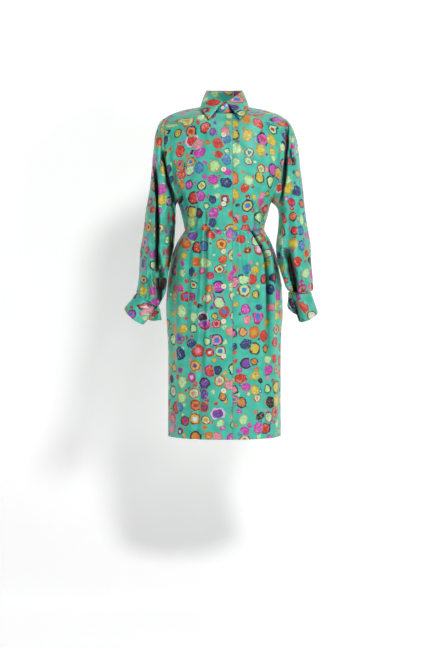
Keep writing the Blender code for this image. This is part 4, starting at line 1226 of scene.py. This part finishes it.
BUTTON_RADIUS, STAND_BUTTON_RADIUS, BUTTON_HEIGHT = 0.008, 0.0055, 0.0020
BUTTON_X, STAND_BUTTON_X, STAND_BUTTON_Z = -0.003, -0.006, -0.011
BODICE_BUTTON_Z, BODICE_BUTTON_STEP = -0.097, 0.1075
SKIRT_BUTTON_Z, SKIRT_BUTTON_STEP = -0.461, 0.1092
SEAT_GAP = 0.0003  # from the cloth to a button
HOLE_RADIUS, HOLE_ASIDE = 0.09, 0.2  # as shares of the button's radius
THREAD_RADIUS, THREAD_LENGTH, THREAD_UP = 0.055, 0.56, 0.00135  # shares of it, and a height
pearl, tree, shader = material("pearl_button")
place = Wire(tree, None).node("TexCoord", out=3)
cloud = place.node("TexNoise", Vector=place, Scale=260.0, Detail=3.0, Distortion=1.4)
tint = cloud.node("ValToRGB", stops=(
    (0.30, linear(166, 124, 52)),
    (0.42, linear(242, 228, 172)),
    (0.58, linear(252, 246, 228)),
    (0.74, linear(206, 180, 104)),
), Fac=cloud)
tree.links.new(tint.socket, shader.inputs["Base Color"])
gloss = cloud.ramp(0.3, 0.7, 0.10, 0.22)
tree.links.new(gloss.socket, shader.inputs["Roughness"])
shader.inputs["Coat Weight"].default_value = 0.6

thread, tree, shader = material("sewing_thread")
place = Wire(tree, None).node("TexCoord", out=3)
twist = place.node("TexWave", {"bands_direction": "DIAGONAL"}, out=1, Vector=place, Scale=900.0)
tint = twist.blend(linear(58, 150, 132), linear(96, 196, 172))
tree.links.new(tint.socket, shader.inputs["Base Color"])
shader.inputs["Roughness"].default_value = 0.6


def button(node, x, z, radius, wall):
    """One button on a wall's outer face, with a sunk middle, four holes and its crossed thread."""
    graph = bpy.context.evaluated_depsgraph_get()
    _, seat, outwards, _ = wall.evaluated_get(graph).ray_cast(Vector((x, -1, z)), Vector((0, 1, 0)))
    turn = outwards.to_track_quat("Z", "Y").to_matrix().to_4x4()
    turn.translation = seat + outwards * SEAT_GAP
    bpy.ops.object.select_all(action="DESELECT")
    bpy.ops.mesh.primitive_cylinder_add(
        vertices=40, radius=radius, depth=BUTTON_HEIGHT, location=(0, 0, BUTTON_HEIGHT / 2)
    )
    made = bpy.context.object
    made.name = made.data.name = node + "_pearl"
    bpy.ops.object.transform_apply(location=True)
    bpy.ops.object.mode_set(mode="EDIT")
    bpy.ops.mesh.select_all(action="DESELECT")
    bpy.ops.object.mode_set(mode="OBJECT")
    for face in made.data.polygons:
        face.select = face.normal.z > 0.9
    bpy.ops.object.mode_set(mode="EDIT")
    bpy.ops.mesh.inset(thickness=0.22 * radius, depth=0)
    bpy.ops.mesh.inset(thickness=0.10 * radius, depth=-0.0008)
    bpy.ops.object.mode_set(mode="OBJECT")
    rim = made.modifiers.new("Rim", "BEVEL")
    rim.width = 0.0004
    rim.segments = 2
    rim.limit_method = "ANGLE"
    bpy.ops.object.modifier_apply(modifier=rim.name)
    for side_x, side_y in ((-1, -1), (-1, 1), (1, -1), (1, 1)):
        bpy.ops.mesh.primitive_cylinder_add(
            vertices=12, radius=HOLE_RADIUS * radius, depth=0.006,
            location=(side_x * HOLE_ASIDE * radius, side_y * HOLE_ASIDE * radius, BUTTON_HEIGHT / 2),
        )
        drill = bpy.context.object
        hole = made.modifiers.new("Hole", "BOOLEAN")
        hole.object = drill
        hole.solver = "EXACT"
        bpy.context.view_layer.objects.active = made
        bpy.ops.object.modifier_apply(modifier=hole.name)
        bpy.data.objects.remove(drill)
    made.data.transform(turn)
    bpy.ops.object.select_all(action="DESELECT")
    made.select_set(True)
    bpy.context.view_layer.objects.active = made
    bpy.ops.object.shade_smooth_by_angle(angle=math.radians(35))
    made.data.materials.append(pearl)
    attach(made, "root")
    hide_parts(node)

    bpy.ops.object.select_all(action="DESELECT")
    strands = []
    for angle in (45, -45):
        bpy.ops.mesh.primitive_cylinder_add(
            vertices=8, radius=THREAD_RADIUS * radius, depth=THREAD_LENGTH * radius,
            location=(0, 0, THREAD_UP), rotation=(0, math.radians(90), math.radians(angle)),
        )
        strands.append(bpy.context.object)
    for strand in strands:
        strand.select_set(True)
    bpy.ops.object.join()
    cross = bpy.context.object
    cross.name = cross.data.name = node + "_thread"
    bpy.ops.object.transform_apply(location=True, rotation=True)
    cross.data.transform(turn)
    cross.data.materials.append(thread)
    bpy.ops.object.shade_smooth()
    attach(cross, "root")


button("stand_button", STAND_BUTTON_X, STAND_BUTTON_Z, STAND_BUTTON_RADIUS, collar_stand)
for i in range(3):
    z = BODICE_BUTTON_Z - BODICE_BUTTON_STEP * i
    button(f"button_{i + 1}", BUTTON_X, z, BUTTON_RADIUS, right_front)
for i in range(5):
    z = SKIRT_BUTTON_Z - SKIRT_BUTTON_STEP * i
    button(f"button_{i + 4}", BUTTON_X, z, BUTTON_RADIUS, right_skirt)


# ------------------------------------------------------------ the studio
# A pale floor that turns up into a pale wall, which is clear on its back so that
# it doesn't hide the dress; a far white dome that gives no light; a key light
# from the front right, a weaker one beside it and one from the left; the camera.

WALL_Y, FLOOR_Z = 0.55, -1.60
FLOOR_SIZE, WALL_HEIGHT, BEND_WIDTH, DOME_RADIUS = 16, 9, 0.5, 30
bpy.ops.object.select_all(action="DESELECT")
bpy.ops.mesh.primitive_plane_add(size=FLOOR_SIZE, location=(0, WALL_Y - FLOOR_SIZE / 2, FLOOR_Z))
backdrop = bpy.context.object
backdrop.name = "backdrop"
bpy.ops.object.transform_apply(location=True)
bpy.ops.object.mode_set(mode="EDIT")
bpy.ops.mesh.select_mode(type="EDGE")
bpy.ops.object.mode_set(mode="OBJECT")
for face in backdrop.data.polygons:
    face.select = False
for edge in backdrop.data.edges:
    edge.select = all(backdrop.data.vertices[v].co.y > WALL_Y - 0.1 for v in edge.vertices)
bpy.ops.object.mode_set(mode="EDIT")
bpy.ops.mesh.extrude_region_move(TRANSFORM_OT_translate={"value": (0, 0, WALL_HEIGHT)})
bpy.ops.object.mode_set(mode="OBJECT")
bend = backdrop.modifiers.new("Bend", "BEVEL")
bend.width = BEND_WIDTH
bend.segments = 16
bend.limit_method = "ANGLE"
bpy.ops.object.modifier_apply(modifier=bend.name)
bpy.ops.object.shade_smooth()
paint, tree, shader = material("pale_paint")
shader.inputs["Base Color"].default_value = (0.93, 0.93, 0.93, 1)
shader.inputs["Roughness"].default_value = 0.9
shader.inputs["Emission Color"].default_value = (1, 1, 1, 1)
shader.inputs["Emission Strength"].default_value = 0.30
painted = Wire(tree, shader.outputs["BSDF"])
on_back = painted.node("NewGeometry", out=6)
clear = painted.node("BsdfTransparent")
one_way = painted.node("MixShader", _0=on_back, _1=painted, _2=clear)
tree.links.new(one_way.socket, tree.nodes["Material Output"].inputs["Surface"])
backdrop.data.materials.append(paint)

bpy.ops.object.select_all(action="DESELECT")
bpy.ops.mesh.primitive_uv_sphere_add(segments=48, ring_count=24, radius=DOME_RADIUS)
sky = bpy.context.object
sky.name = "far_white"
sky.visible_diffuse = False
sky.visible_glossy = False
sky.visible_transmission = False
sky.visible_shadow = False
white, _, shader = material("far_white")
shader.inputs["Base Color"].default_value = (0, 0, 0, 1)
shader.inputs["Specular IOR Level"].default_value = 0
shader.inputs["Emission Color"].default_value = (1, 1, 1, 1)
shader.inputs["Emission Strength"].default_value = 1.0
sky.data.materials.append(white)

bpy.context.scene.view_settings.view_transform = "Standard"
world = bpy.data.worlds.new("studio")
bpy.context.scene.world = world
world.use_nodes = True
world.node_tree.nodes["Background"].inputs["Color"].default_value = (1, 1, 1, 1)
world.node_tree.nodes["Background"].inputs["Strength"].default_value = 0.07


def lamp(name, place, aim, size, power):
    bpy.ops.object.light_add(type="AREA", location=place)
    made = bpy.context.object
    made.name = name
    made.data.shape = "DISK"
    made.data.size = size
    made.data.energy = power
    made.rotation_mode = "QUATERNION"
    made.rotation_quaternion = (Vector(aim) - Vector(place)).to_track_quat("-Z", "Y")


lamp("key", (1.2, -3.2, 2.0), (0, 0, -0.40), 0.8, 88)
lamp("side", (2.6, -3.2, -0.1), (0, 0, -0.45), 0.7, 20)
lamp("fill", (-2.6, -3.2, 0.6), (0, 0, -0.45), 1.2, 12)

CAMERA_AT, CAMERA_AIM = (-0.027, -5.5, -0.429), (-0.027, 0, -0.694)
bpy.ops.object.camera_add(location=CAMERA_AT)
camera = bpy.context.object
camera.rotation_mode = "QUATERNION"
camera.rotation_quaternion = (Vector(CAMERA_AIM) - camera.location).to_track_quat("-Z", "Y")
camera.data.lens = 95.49
camera.data.sensor_width = 36
bpy.context.scene.camera = camera
